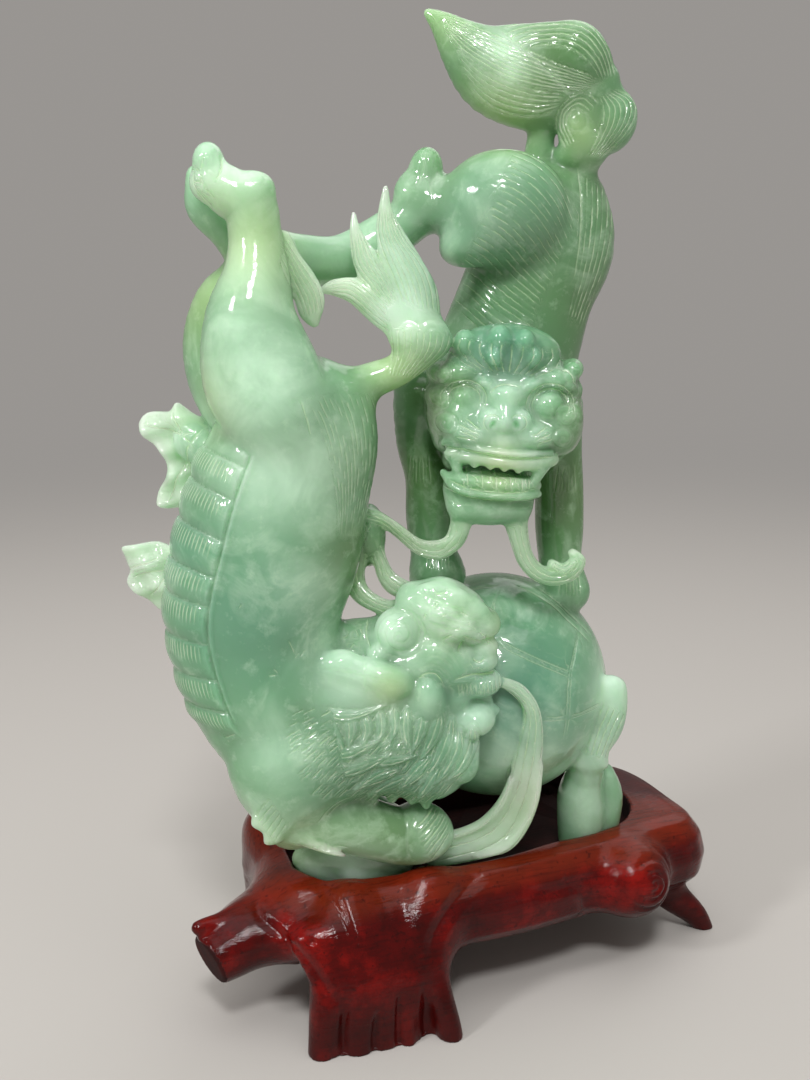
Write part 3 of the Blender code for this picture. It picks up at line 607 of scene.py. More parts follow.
class Drawing:
    """What is drawn on the front of the block before it is engraved, in x and z: rise is how far the form
    swells there, and cut is how deep the wheel goes. The rest tells the finish how the hair runs."""

    def __init__(self, low, high, pitch=0.15):
        self.low = np.array(low, float)
        self.pitch = pitch
        counts = np.ceil((np.array(high) - self.low) / pitch).astype(int) + 1
        self.rise = np.zeros(counts, np.float32)
        self.cut = np.zeros(counts, np.float32)
        self.across, self.along, self.gap, self.broken, self.hair = np.zeros((5, *counts), np.float32)
        self.near, self.second = np.full((2, *counts), FAR_AWAY, np.float32)
        self.aside, self.mark = np.zeros((2, *counts), np.float32)

    def spots(self, points, room):
        """The spots within room of some points: their slices, and their places across and up."""
        first = ((points.min(0) - room - self.low) / self.pitch).astype(int)
        last = ((points.max(0) + room - self.low) / self.pitch).astype(int) + 2
        first = np.clip(first, 0, np.array(self.cut.shape) - 1)
        last = np.clip(last, 1, self.cut.shape)
        across = self.low[0] + self.pitch * np.arange(first[0], last[0])
        up = self.low[1] + self.pitch * np.arange(first[1], last[1])
        return (slice(first[0], last[0]), slice(first[1], last[1])), across[:, None], up[None, :]

    def beside(self, path, room):
        """The slices of the spots near a path, and what measure finds for them."""
        slices, across, up = self.spots(path, room)
        return slices, *self.measure(path, across, up)

    def measure(self, path, across, up):
        """How far some places lie off a path, how far to its side, and at what share of it."""
        off = np.full((across.size, up.size), 1e6)
        side, share = np.zeros_like(off), np.zeros_like(off)
        steps = np.linalg.norm(np.diff(path, axis=0), axis=1)
        gone = 0
        for start, end, length in zip(path, path[1:], np.maximum(steps, 1e-6)):
            run, climb = (end - start) / length
            x, z = across - start[0], up - start[1]
            far = np.clip(x * run + z * climb, 0, length)
            away = np.hypot(x - far * run, z - far * climb)
            nearer = away < off
            off = np.where(nearer, away, off)
            side = np.where(nearer, z * run - x * climb, side)
            share = np.where(nearer, (gone + far) / steps.sum(), share)
            gone += length
        return off, side, share

    def comb_in(self, slices, here, *fields):
        """Note for the finish, where here is true, the place across the strands and along them in dashes, the
        gap between two cuts in millimetres, how much the cuts come and go, and how full the hair is."""
        for field, value in zip((self.across, self.along, self.gap, self.broken, self.hair), fields):
            field[slices] = np.where(here, value, field[slices])

    def strands(self, first, last, count, depth=0.3, broken=0.4, fade=0.08, dash=3.6, full=1.0):
        """Combed hair between two lines: a cut along each of count lines, coming and going in dashes."""
        lines = [through(path, 4) for path in between(first, last, count)]
        slices, across, up = self.spots(np.concatenate(lines), 1.5)
        offs, _, shares = np.array([self.measure(line, across, up) for line in lines]).swapaxes(0, 1)
        ranks = np.argsort(offs, axis=0)[:2]
        off, second = np.take_along_axis(offs, ranks, axis=0)
        share = np.take_along_axis(shares, ranks[:1], axis=0)[0]
        width = np.linalg.norm(lines[-1] - lines[0], axis=1)
        gap = np.interp(share, np.linspace(0, 1, len(width)), width) / (count - 1)
        hair = ease_in(-(off + second) / np.maximum(gap, 0.1), -1.6, -1.2) * ease_in(gap, 0.35, 0.7)
        hair *= full * ease_in(np.minimum(share, 1 - share), 0, fade)
        length = np.linalg.norm(np.diff(lines[count // 2], axis=0), axis=1).sum()
        place = ranks[0] + np.sign(ranks[1] - ranks[0]) * off / np.maximum(off + second, 1e-6)
        self.comb_in(slices, hair > self.hair[slices], place, share * length / dash, gap, broken, hair)
        self.cut[slices] = np.maximum(self.cut[slices], depth * hair * np.clip(1 - off / 0.45, 0, 1))

    def groove(self, points, width=0.8, depth=0.3, run_out=0.3):
        """A wheel cut along a path, shallower over the run-out at each end."""
        path = through(points, 4) if len(points) > 2 else np.array(points, float)
        slices, off, side, share = self.beside(path, max(width, 2))
        full = np.clip(np.minimum(share, 1 - share) / run_out, 0, 1) ** 0.5 if run_out else 1
        deep = depth * full * np.clip(1 - off / (width / 2), 0, 1)
        self.cut[slices] = np.maximum(self.cut[slices], deep)
        nearer = off < self.near[slices]
        self.second[slices] = np.where(nearer, self.near[slices], np.minimum(self.second[slices], off))
        crisp = full * min(depth / 0.45, 1) * (width < 1.3)
        for field, value in ((self.near, off), (self.aside, side), (self.mark, crisp)):
            field[slices] = np.where(nearer, value, field[slices])

    def lock(self, points, width, strands, rise, depth, root):
        """A lock of hair along a path: a swelling leaf with a pointed tip, combed lengthwise into strands."""
        path = through(points, 4)
        slices, off, side, share = self.beside(path, width * 0.6 + 0.5)
        half = width / 2 * (root + (1 - root) * np.sin(np.pi * np.minimum(share * 1.5, 0.5)))
        half *= np.clip((1 - share) / 0.6, 0, 1) ** 0.7 + 1e-3
        inside = off < half
        crown = rise * np.sqrt(np.clip(1 - (off / half) ** 2, 0, 1)) * ease_in(share, -0.2, 0.25)
        place = strands * (np.clip(side / half, -1, 1) + 1) / 2
        self.rise[slices] = np.where(inside, crown, self.rise[slices])
        strand_cut = depth * (1 - np.abs(np.sin(np.pi * place)) ** 0.6)
        self.cut[slices] = np.where(inside, strand_cut, self.cut[slices])
        full = ease_in(half, 0.5, 1.2) * ease_in(-off / half, -1.0, -0.8) * ease_in(share, 0, 0.1)
        self.comb_in(slices, inside, place, share * 3, 2 * half / strands, 0.8, full)
        edge = depth * np.clip(1 - np.abs(off - half - 0.2) / 0.5, 0, 1)
        self.cut[slices] = np.maximum(self.cut[slices], np.where(inside, 0, edge))

    def curl(self, centre, radius, turns, rise, depth, hand=1):
        """A snail-shell curl of hair: a low boss with a spiral cut in it."""
        centre = np.array(centre, float)
        slices, across, up = self.spots(centre[None], radius + 1)
        x, z = across - centre[0], up - centre[1]
        off = np.hypot(x, z)
        step = radius / turns
        phase = (off / step - np.arctan2(z, x) * hand / math.tau) % 1
        spiral = depth * np.clip(1 - np.minimum(phase, 1 - phase) * step / 0.5, 0, 1)
        inside = off < radius
        boss = rise * np.sqrt(np.clip(1 - (off / radius) ** 2, 0, 1))
        self.rise[slices] = np.where(inside, boss, self.rise[slices])
        self.cut[slices] = np.where(inside, spiral, self.cut[slices])
        edge = depth * np.clip(1 - np.abs(off - radius - 0.2) / 0.5, 0, 1)
        self.cut[slices] = np.maximum(self.cut[slices], edge)

    def comb(self, edge, flow, gap, length, width, depth, seed):
        """Hair inside an edge: fine cuts that follow the flow, given as rows of x, z and heading."""
        random = np.random.default_rng(seed)
        edge, flow = np.array(edge, float), np.array(flow, float)

        def heading(x, z):
            weight = 1 / ((flow[:, 0] - x) ** 2 + (flow[:, 1] - z) ** 2 + 4)
            turn = np.radians(flow[:, 2])
            return math.atan2((weight * np.sin(turn)).sum(), (weight * np.cos(turn)).sum())

        mean = heading(*edge.mean(0))
        turned = np.array([(math.cos(mean), math.sin(mean)), (-math.sin(mean), math.cos(mean))])
        low_far, low_side = (edge @ turned.T).min(0)
        high_far, high_side = (edge @ turned.T).max(0)
        for aside in np.arange(low_side, high_side, gap):
            for far in np.arange(low_far - length * random.uniform(0, 1), high_far, length * 1.12):
                x, z = np.array((far, aside + random.uniform(-0.12, 0.12) * gap)) @ turned
                if not within(edge, x, z):
                    continue
                path = [(x, z)]
                for _ in range(4):
                    turn = heading(x, z)
                    x += math.cos(turn) * length / 4
                    z += math.sin(turn) * length / 4
                    path.append((x, z))
                self.groove(path, width, depth * random.uniform(0.6, 1.1))

    def at(self, x, z):
        """The rise and the cut at some places."""
        fx = np.clip((x - self.low[0]) / self.pitch, 0, self.cut.shape[0] - 1.001)
        fz = np.clip((z - self.low[1]) / self.pitch, 0, self.cut.shape[1] - 1.001)
        i, k = fx.astype(int), fz.astype(int)
        fx, fz = fx - i, fz - k
        return [
            (a[i, k] * (1 - fx) + a[i + 1, k] * fx) * (1 - fz)
            + (a[i, k + 1] * (1 - fx) + a[i + 1, k + 1] * fx) * fz
            for a in (self.rise, self.cut)
        ]

    def combed(self, x, z):
        """What the finish needs at some places, in the order of comb_in. Off the combed hair, a lone wheel
        cut counts as one of some strands that lie far apart."""
        i = np.clip(np.round((x - self.low[0]) / self.pitch), 0, self.cut.shape[0] - 1).astype(int)
        k = np.clip(np.round((z - self.low[1]) / self.pitch), 0, self.cut.shape[1] - 1).astype(int)
        fields = [a[i, k] for a in (self.across, self.along, self.gap, self.broken, self.hair)]
        near, second = self.near[i, k], self.second[i, k]
        alone = self.mark[i, k] * ease_in(-near, -2, -1.2) * ease_in(second - near, 0.1, 0.6)
        lone = (fields[4] < 0.02) & (alone > 0.02)
        lone_fields = (self.aside[i, k] / LONE_GAP, 0, LONE_GAP, 0, alone)
        return [np.where(lone, one, other) for one, other in zip(lone_fields, fields)]


def within(edge, x, z):
    """Whether a place lies inside a closed edge."""
    inside = False
    for (x0, z0), (x1, z1) in zip(edge, np.roll(edge, -1, axis=0)):
        if (z0 > z) != (z1 > z) and x < x0 + (z - z0) / (z1 - z0) * (x1 - x0):
            inside = not inside
    return inside


class Surface:
    """The skin of a block while it is engraved: how far each point is lifted, how deep a wheel has cut, and
    what the finish needs for the hair."""

    def __init__(self, block):
        self.block = block
        self.points, self.faces, self.owner = skin(block)
        self.outward = outward_of(self.points, self.faces)
        self.lift = np.zeros(len(self.points))
        self.engraved = np.zeros(len(self.points))
        self.across, self.along, self.gap, self.broken, self.hair = np.zeros((5, len(self.points)))

    def parts(self, names):
        """Which points belong to the named parts."""
        return np.isin(self.owner, [self.block.parts.index(name) for name in names.split()])

    def engrave(self, names, drawing):
        """Cut a drawing into the front of the named parts, less where they turn away."""
        mine = np.flatnonzero(self.parts(names))
        square_on = ease_in(-self.outward[mine, 1], 0.02, 0.4)
        rise, cut = drawing.at(self.points[mine, 0], self.points[mine, 2])
        self.lift[mine] += (rise - cut) * square_on
        self.engraved[mine] = np.maximum(self.engraved[mine], cut * square_on)
        combed = drawing.combed(self.points[mine, 0], self.points[mine, 2])
        there = combed[4] > 0.02
        combed[4] = combed[4] * square_on
        for field, value in zip((self.across, self.along, self.gap, self.broken, self.hair), combed):
            field[mine[there]] = value[there]

    def depth_of_stone(self, reach):
        """How much material lies behind each point, up to reach."""
        behind = (self.points - self.outward * reach - self.block.low) / self.block.grid
        behind = np.clip(np.round(behind).astype(int), 0, self.block.counts - 1)
        return np.clip(-self.block.outside[tuple(behind.T)], 0, reach)


surface = Surface(jade)


# The belly of the lower dog has broad scutes like a dragon's, each with a row of short comb cuts under its
# upper edge, and a raised seam where they meet the smooth flank.
TRUNK = through(TRUNK_ROWS, 4)[::-1]
SCUTE_LINES = (70, 78.5, 87.8, 96, 105.4, 115.3, 122.7, 131.7, 141.7, 149.6, 160)
HALF_BELLY = 65
mine = np.flatnonzero(surface.parts("trunk near_leg far_leg"))
x, y, z = surface.points[mine].T
middle_x, middle_y, wide, thick = (np.interp(z, TRUNK[:, 2], TRUNK[:, k]) for k in (0, 1, 3, 4))
round_trunk = np.degrees(np.arctan2((y - middle_y) / thick, (x - middle_x) / wide))
from_belly = round_trunk % 360 - 180
share = np.abs(from_belly) / HALF_BELLY
drop = np.interp(z, (88, 100, 115, 124, 134, 150), (0.4, 0.4, 1.8, 3, 4.2, 4.4))
level = z - drop * (1 - share**2)
row = np.clip(np.searchsorted(SCUTE_LINES, level), 1, len(SCUTE_LINES) - 1)
upper, lower = np.take(SCUTE_LINES, row), np.take(SCUTE_LINES, row - 1)
below = np.clip((upper - level) / (upper - lower), 0, 1)
scute = 1.5 * np.sin(np.pi * (below * 0.94 + 0.03)) ** 0.5 - 0.3
span = upper - lower
line = np.clip(1 - below * span / 0.6, 0, 1) * 0.3
ticks = ease_in(below * span, 0.7, 1.3) * ease_in(-below * span, -4.8, -3.8) * ease_in(-share, -0.94, -0.82)
on_belly = ease_in(-share, -1.0, -0.96) * ease_in(z, 80, 86) * ease_in(-z, -156, -152)
on_belly *= surface.parts("trunk")[mine]
surface.lift[mine] += on_belly * (scute - line)
surface.engraved[mine] = np.maximum(surface.engraved[mine], on_belly * line * 1.6)
surface.across[mine] = from_belly / 3.3 + row * 0.37
surface.gap[mine] = 1.3
surface.hair[mine] = on_belly * ticks
seam_off = (np.abs(from_belly) - HALF_BELLY) * wide * math.tau / 360
seam = ease_in(z, 82, 88) * ease_in(-z, -156, -151) * surface.parts("trunk")[mine]
bead = 0.45 * np.clip(1 - np.abs(seam_off - 0.7) / 0.8, 0, 1)
gutter = 0.5 * np.clip(1 - np.abs(seam_off + 0.3) / 0.5, 0, 1)
surface.lift[mine] += seam * (bead - gutter)
seam_mark = seam * 0.3 * np.clip(1 - np.abs(seam_off) / 0.9, 0, 1)
surface.engraved[mine] = np.maximum(surface.engraved[mine], seam_mark)

# Fine hair down the lower dog's back and rump, and small chips round the shoulder.
coat = Drawing((-62, 34), (0, 230))
coat.strands(
    [(-7.6, 167.5), (-6, 160), (-6.2, 151), (-8.6, 141.5), (-11.2, 130)],
    [(-24, 168), (-20, 159), (-17.6, 149), (-16.6, 139), (-17, 130)],
    14, depth=0.15, broken=0.95, dash=4, full=0.55)
coat.strands([(-34, 66), (-38.4, 60)], [(-30, 59), (-33.6, 53)], 6, broken=0.4, full=0.7)
for path in (
        [(-25, 167), (-23.5, 162), (-22.5, 157)], [(-18, 167), (-13.5, 160.5)], [(-16.5, 168), (-12, 161)],
        [(-29, 106.5), (-27.5, 102.5)], [(-26.5, 101.5), (-25, 103.5)], [(-27.8, 101), (-26.5, 103)],
        [(-41, 115), (-40, 116.5)], [(-34.5, 98), (-31, 97.5)], [(-33, 99.5), (-31.5, 98)],
        [(-26, 85.5), (-23.5, 85)], [(-46, 80.5), (-42.5, 82.5)], [(-22.5, 57), (-18.5, 61.5), (-14, 63.5)],
        [(-20, 58.5), (-16.5, 61.5)]):
    coat.groove(path, 0.7, 0.3)
for share in np.linspace(0, 1, 5):
    coat.groove([(-29 + 8 * share, 51.5 - share), (-25 + 10 * share, 49.5)], 0.7, 0.3)
surface.engrave("trunk near_leg shoulder elbow_hair forearm", coat)

# The raised hind foot has rounded toes, and a fin of hair runs down from the hock.
leg = Drawing((-62, 170), (-8, 232))
leg.strands(
    [(-29.6, 205), (-25.4, 198.6), (-21.2, 192.2), (-20.4, 187)],
    [(-30, 199.5), (-28, 194), (-26, 189), (-24.6, 184.4)], 6, broken=0.3)
leg.groove([(-48, 167), (-45, 161.6), (-41.4, 157), (-39, 151.4)], 1.8, 1.0, run_out=0.3)
for path in (
        [(-44, 224), (-43.6, 220.4), (-45, 217.4)], [(-52, 220.2), (-49.4, 220.2), (-47.6, 219)],
        [(-51.4, 217.4), (-48.8, 217.2), (-47, 216)]):
    leg.groove(path, 1.0, 0.45)
leg.groove([(-50.1, 221.4), (-50.8, 217.5), (-49.3, 214.5), (-46.3, 211.7)], 1.1, 0.5)
leg.groove([(-47.6, 223.2), (-48.5, 219.4), (-47.2, 215.5), (-44.8, 213)], 1.0, 0.4)
leg.curl((-35.2, 217.8), 1.8, 1, rise=-0.2, depth=0.25)
surface.engrave("near_leg near_foot hock_hair", leg)

# Hair of the flame tail.
flame = Drawing((-24, 160), (16, 220))
flame.strands(
    [(-20.3, 193.6), (-16.9, 195), (-13.1, 195.6), (-9.2, 192.8), (-4.4, 188.4)],
    [(-19.8, 191), (-16.7, 190.4), (-13.4, 189.2), (-8.3, 184.8), (-3.6, 181.4)], 6, broken=0.3)
flame.strands(
    [(-12.8, 210.6), (-13.6, 207), (-13.3, 201.8), (-12.4, 197.4), (-8.2, 192.2), (-4, 187)],
    [(-12.5, 210.4), (-11.2, 208.2), (-9.3, 203.4), (-7.7, 200.2), (-4.9, 195), (-1.4, 188.8)], 6, broken=0.3)
flame.strands(
    [(-5.1, 216.8), (-6.9, 211.4), (-7.9, 206.6), (-6.8, 201.2), (-4.2, 195.4), (-1.2, 188.4)],
    [(-4.3, 216.6), (-2.7, 210.5), (0.6, 204), (4.9, 199), (7.8, 193), (8.6, 185.4)], 9, broken=0.3)
flame.curl((6.6, 180.8), 3.8, 1.4, rise=0, depth=0.2, hand=-1)
flame.curl((1, 181), 3.4, 1.2, rise=0, depth=0.2)
flame.strands(
    [(-3.6, 183), (-3.2, 177), (-4, 171)],
    [(11.4, 181.6), (9.8, 176.6), (2.4, 170)], 10, depth=0.2, broken=0.5)
surface.engrave("tail_stem tail_left tail_middle tail_main tail_knob", flame)

# The lower dog's head lies on its side: a mane of overlapping combed locks, a scroll of hair over the brow.
mane = Drawing((-32, 55), (32, 126))
MANE_LOCKS = (
    ([(-26, 84.5), (-23, 79), (-18, 75), (-13, 73)], 6, 3), ([(-22, 87), (-18, 81.5), (-15, 76)], 5, 3),
    ([(-26, 79), (-22, 74), (-17, 70.5)], 4, 3), ([(-18, 77), (-14, 77), (-7, 80)], 4, 3),
    ([(-14, 87.5), (-13.5, 82.5), (-14.5, 78.5)], 4.2, 3),
    ([(-10.5, 87), (-9.5, 82.5), (-11.5, 78.5)], 3.6, 3), ([(-6.5, 87.5), (-6, 82.5), (-8, 79)], 3.4, 2),
    ([(-23, 88), (-14, 86.5), (-4, 89)], 3.6, 3), ([(-12, 75), (-4, 74.5), (4, 76)], 3.8, 3),
    ([(-3, 88), (-2.5, 83), (-4, 79.5)], 3.4, 2), ([(0.5, 87.5), (0.2, 82), (1.4, 76)], 3.6, 3),
    ([(5, 86.5), (4, 81.5), (1.5, 76)], 3.8, 3), ([(-17, 71.5), (-11, 73), (-3, 77)], 4, 3),
    ([(9, 85.5), (7.5, 80), (4, 74.5)], 4.4, 3), ([(-1.5, 72), (-6.5, 70), (-13.5, 66)], 4.6, 4),
    ([(0.5, 69.5), (-4.5, 67), (-10, 63)], 4.2, 3), ([(6.5, 74.5), (3, 70.5), (-2, 65.5)], 4.8, 4),
    ([(12, 84), (11, 78), (8, 72.5), (3, 67)], 5, 3), ([(9, 72), (6.5, 67.5), (3, 62)], 4.4, 3),
    ([(14, 81), (13.5, 75.5), (10.5, 70.5), (7, 67)], 4.4, 3),
    ([(17.5, 82), (17, 76.5), (14, 71), (10.5, 68)], 5, 3),
)
for path, width, strands in MANE_LOCKS:
    mane.lock(path, width * 0.9, strands, rise=0.6, depth=0.34, root=0.4)
mane.comb(
    [(-27, 88), (-10, 89), (4, 88), (12, 86), (18, 80), (18, 74), (12, 65), (6, 59), (-12, 60), (-22, 70)],
    [(-24, 86, 205), (-22, 76, 225), (-14, 82, 215), (-8, 72, 218), (-12, 64, 225), (0, 82, 238),
     (2, 70, 232), (4, 62, 236), (10, 76, 250), (14, 70, 236), (16, 78, 262)],
    gap=1.7, length=4.2, width=0.8, depth=0.34, seed=5)
mane.curl((-1.2, 106), 6, 2.4, rise=0.2, depth=0.4)
for path in between(
        [(3.6, 103.4), (8, 103.4), (12, 100.6), (14.4, 96.6)],
        [(4, 98), (8, 98.4), (10.6, 96.4), (11.8, 94.4)], 3):
    mane.groove(path, 1.3, 0.3)
mane.groove([(13.6, 101.4), (15.6, 104.6), (19.4, 103.9), (24.2, 103.9)], 1.2, 0.8, run_out=0.12)
mane.groove([(-9, 101.5), (-10, 106), (-7.5, 112), (-3, 113.4)], 1.0, 0.5)
mane.groove([(12.6, 94.6), (17, 95.6), (20, 95), (24.8, 94.8)], 1.1, 0.7, run_out=0.2)
for x in np.arange(13.5, 25, 1.1):
    mane.groove([(x, 93.6), (x + 0.5, 89.8)], 0.7, 0.3)
mane.groove([(17.4, 99.6), (18.8, 98.6), (20.6, 99.4)], 1.0, 0.6)
mane.groove([(2.2, 92.6), (4.4, 96), (8, 96.2), (10.4, 92.4)], 0.9, 0.4)
for path in between(
        [(2, 117), (7, 115.4), (13, 113), (20, 110)],
        [(4, 110), (9, 108.6), (14, 107.4), (22, 106.6)], 4):
    mane.groove(path, 1.6, 0.5)
for x, z, turn in (
        (6, 113, 0.5), (9, 111.4, 0.3), (13.4, 112.4, 5.8), (16, 109.6, 5.5), (11, 107.6, 0.2),
        (18.6, 107.4, 5.4), (4.4, 109.6, 1.2), (7.6, 116.4, 0.1), (14.6, 106, 5.9), (20.8, 105.6, 5.0),
        (9.6, 104.8, 0.6)):
    mane.groove([(x, z), (x + 3 * math.cos(turn), z + 3 * math.sin(turn))], 0.9, 0.45)
mane.groove([(5.4, 118.6), (6.2, 113), (4.6, 108.4)], 1.4, 0.4)
for x, z, turn in ((-14, 101, 1.2), (-12, 104, 2), (-16, 103.5, 0.6), (-8.6, 114, 0.9), (-12.6, 108.5, 2.2)):
    mane.groove([(x, z), (x + 1.6 * math.cos(turn), z + 1.6 * math.sin(turn))], 0.7, 0.3)
surface.engrave("head neck crown head_curl brow_ridge nose muzzle jaw mane", mane)

# The left of the mane runs out over the shoulder and chest, and the ear has a soft fold along it.
chest = Drawing((-32, 55), (6, 106))
chest.comb(
    [(-27.5, 89), (-18, 89), (-8, 88), (-10, 66), (-16, 66), (-22, 70), (-25.5, 78)],
    [(-25, 86, 200), (-24, 80, 215), (-20, 73, 228), (-14, 84, 210), (-13, 70, 225)],
    gap=1.6, length=4.2, width=0.8, depth=0.34, seed=6)
surface.engrave("shoulder trunk", chest)
lug = Drawing((-26, 86), (4, 106))
lug.groove([(-22, 98.6), (-16, 98), (-10, 96.4), (-4, 95), (0, 94)], 1.6, 0.35)
lug.groove([(-9.6, 101), (-10.4, 97), (-9.2, 92)], 1.6, 0.35)
surface.engrave("ear", lug)

# The forepaw's toes.
paw = Drawing((-2, 36), (16, 60))
for path in (
        [(12, 50.8), (9, 46.4), (7, 42.9)], [(11.8, 52.7), (8.4, 49), (5.8, 45.5)],
        [(11.3, 54.7), (7.8, 51.6), (4.7, 48.2)], [(10.6, 56.4), (7.2, 53.8), (3.8, 50.8)],
        [(9.5, 57.7), (6.2, 55.8), (3.1, 53.3)]):
    paw.groove(path, 0.9, 0.45)
paw.groove([(1, 55.6), (0.4, 50), (1.6, 43)], 1.4, 0.3)
surface.engrave("forearm", paw)

# Hair over the upper dog's haunch and down its spine, with short cuts at its toes and heels.
hide = Drawing((-36, 105), (66, 230))
hide.strands(
    [(27, 227), (34, 224), (40.4, 217.6), (44.6, 209)],
    [(10, 190), (15, 186), (21.6, 180.4), (31, 176)], 27, depth=0.2, broken=0.9, dash=4, full=0.8)
hide.strands(
    [(55.2, 218), (54.6, 208), (52, 196), (47, 182)],
    [(47.4, 222), (47, 210), (45.8, 198), (42.8, 184)], 6, depth=0.2, broken=0.9, dash=5)
hide.groove([(44.8, 224), (45.6, 214), (45.2, 204), (44, 194)], 1.0, 0.4)
for z in np.arange(196, 222, 2.1):
    hide.groove([(46, z), (49.5, z + 0.8)], 0.7, 0.2)
for path in ([(5.2, 227), (4.4, 221), (2.6, 217.6)], [(8.6, 222), (6.6, 218), (7.4, 214)]):
    hide.groove(path, 1.4, 0.4)
for x, z in ((4, 144), (44, 141), (46, 112), (9, 121)):
    for step in (-2.4, -0.8, 0.8, 2.4):
        hide.groove([(x + step, z + 4), (x + step * 1.3, z - 4)], 0.8, 0.25)
surface.engrave("torso haunch far_haunch upper_hind_leg upper_foot left_foreleg right_foreleg", hide)

# Its tail, a plume of parallel combed hair with a curl at the root.
plume = Drawing((2, 222), (64, 266))
plume.strands(
    [(8.2, 261.4), (16.8, 258), (23.1, 255.4), (30.1, 251.9), (38.6, 247.7), (47, 244.9), (51.9, 243.4)],
    [(8.2, 259.4), (14, 251.7), (20.3, 247), (27.3, 243.6), (35.7, 241.9), (42.8, 241.3), (49.1, 241.6)],
    9, broken=0.2, fade=0.03)
plume.strands(
    [(12, 254.6), (17, 249.2), (24, 244.8), (33, 241.6), (41, 240.6)],
    [(15.4, 244.9), (21, 239.2), (27.3, 236.4), (34.3, 235.8), (39.6, 237.6)], 6, broken=0.5)
plume.strands(
    [(24.5, 257.2), (30.8, 259.2), (39.3, 259.6), (45.8, 258.2), (50.2, 253.7), (52.8, 249), (53.6, 244.9)],
    [(26.6, 249.3), (32.9, 252.5), (39.3, 252.3), (43.5, 250.3), (47, 247.4), (48.7, 245.4), (49.8, 243.6)],
    6, broken=0.2)
plume.groove([(24, 257.4), (30, 252), (36.5, 246), (43, 239.6)], 1.4, 0.7, run_out=0.1)
plume.curl((44, 234.6), 2.6, 1, rise=0, depth=0.3, hand=-1)
plume.strands(
    [(49.6, 238.6), (45, 241), (40, 238), (39, 233), (41.6, 227.6)],
    [(46.4, 235.6), (44, 237.6), (41.6, 236), (41.4, 233), (43.6, 229)], 4, broken=0.2)
plume.strands(
    [(53, 242.4), (58.6, 240.6), (59.4, 236.2), (55.6, 230), (50, 225)],
    [(49.4, 240.6), (50.8, 237), (50.2, 232.8), (48.6, 228.6), (47, 225.4)], 7, broken=0.2)
surface.engrave("plume plume_root plume_knob", plume)

# Its face: curls down each side, hair in the forelock, whisker lines on the cheeks, and cuts that part the
# teeth and ring the eyes.
mask = Drawing((0, 125), (56, 190))
for x, z, radius in (
        (43.2, 171.6, 2.6), (42.8, 166.4, 2.6), (41.2, 160.8, 2.7), (40.4, 154.8, 2.6), (8.8, 171, 2.7),
        (8.6, 165, 2.7), (10.4, 158.6, 2.7), (11.2, 152.6, 2.6)):
    mask.curl((x, z), radius, 1.3, rise=0.5, depth=0.35)
mask.strands(*FORELOCK, 12, depth=0.4, broken=0.6, dash=2)
for path in (
        [(13.5, 158.7), (19.1, 156.2)], [(13.8, 157.1), (18.5, 155.3)], [(13, 155.5), (18, 154.6)],
        [(15.4, 160.2), (19, 157.4)], [(36.9, 156.2), (33, 154.6)], [(37.6, 154.8), (33.6, 153.6)],
        [(36, 157.9), (32.2, 155.7)]):
    mask.groove(path, 0.9, 0.45)
for x, hand in ((21.9, 1), (28.5, -1)):
    turns = np.linspace(0.4, 4.4, 8)
    nostril = [(x + 2.2 * math.cos(t) * hand, 159.2 + 2.1 * math.sin(t)) for t in turns]
    mask.groove(nostril, 0.8, 0.3)
mask.groove([(10, 152.6), (16.5, 151.7), (23.5, 150.7), (30, 150), (38, 150.1)], 0.9, 0.5, run_out=0.05)
for x in (15.9, 19.65, 23.2, 26.9, 29.9, 31.8):
    mask.groove([(x, 145.6 - (x - 16) * 0.1), (x + 0.1, 142.2 - (x - 16) * 0.03)], 0.8, 0.45, run_out=0)
mask.groove([(9.8, 142), (15.4, 139.9), (23.9, 139), (30, 138.9), (34.4, 139.4)], 0.8, 0.4, run_out=0.1)
mask.groove([(11.6, 144), (16, 142.4), (23.9, 141.6), (30, 141.4), (33.4, 141.8)], 0.8, 0.45, run_out=0.1)
for x, z, wide, high in ((15, 164.9, 3.9, 3.1), (37, 163, 4.5, 4.1)):
    for grow in (0.2, 1.7):
        turns = np.linspace(-0.5, 3.5, 10)
        lid = [(x + (wide + grow) * math.cos(t), z + (high + grow * 0.9) * math.sin(t)) for t in turns]
        mask.groove(lid, 0.8, 0.35)
for path in (
        [(9.4, 173.4), (12, 175.4), (15.4, 175.6), (18.4, 173.2), (20, 169.8)],
        [(34.4, 171.6), (38, 172.8), (41.8, 171.2), (43.4, 168)],
        [(21.4, 166.6), (23.4, 168.4), (26, 168.8), (29, 168)]):
    mask.groove(path, 0.9, 0.4)
surface.engrave(
    "face snout bridge brow tuft eye_right eye_left side_curl lip gums lower_teeth lower_lip chin", mask)

# The brocade ball is bound by pale double seams.
cloth = Drawing((-8, 44), (62, 114))
SEAMS = (
    [(12, 112), (17.7, 110.3), (21.6, 111), (26.6, 111.4)], [(27, 111.4), (24, 107), (24, 100)],
    [(24, 100.4), (27, 98.6), (32.3, 96.1), (41.1, 91.8), (45.7, 89.4)],
    [(30, 111.6), (35.6, 109.8), (41.5, 106.4), (45.3, 102.9), (48.4, 100), (52, 96)],
    [(48.3, 99.7), (46, 94.2), (44.5, 88.6), (44, 77.9), (43.4, 73)],
    [(36.6, 79.5), (43.4, 78.6), (50.8, 78.6), (54.4, 78.5)], [(36.6, 79.5), (30, 70), (28, 60)],
)
for seam in SEAMS:
    for aside in (-0.45, 0.45):
        cloth.groove([(x + aside, z + aside) for x, z in seam], 0.7, 0.25, run_out=0.15)
surface.engrave("ball", cloth)

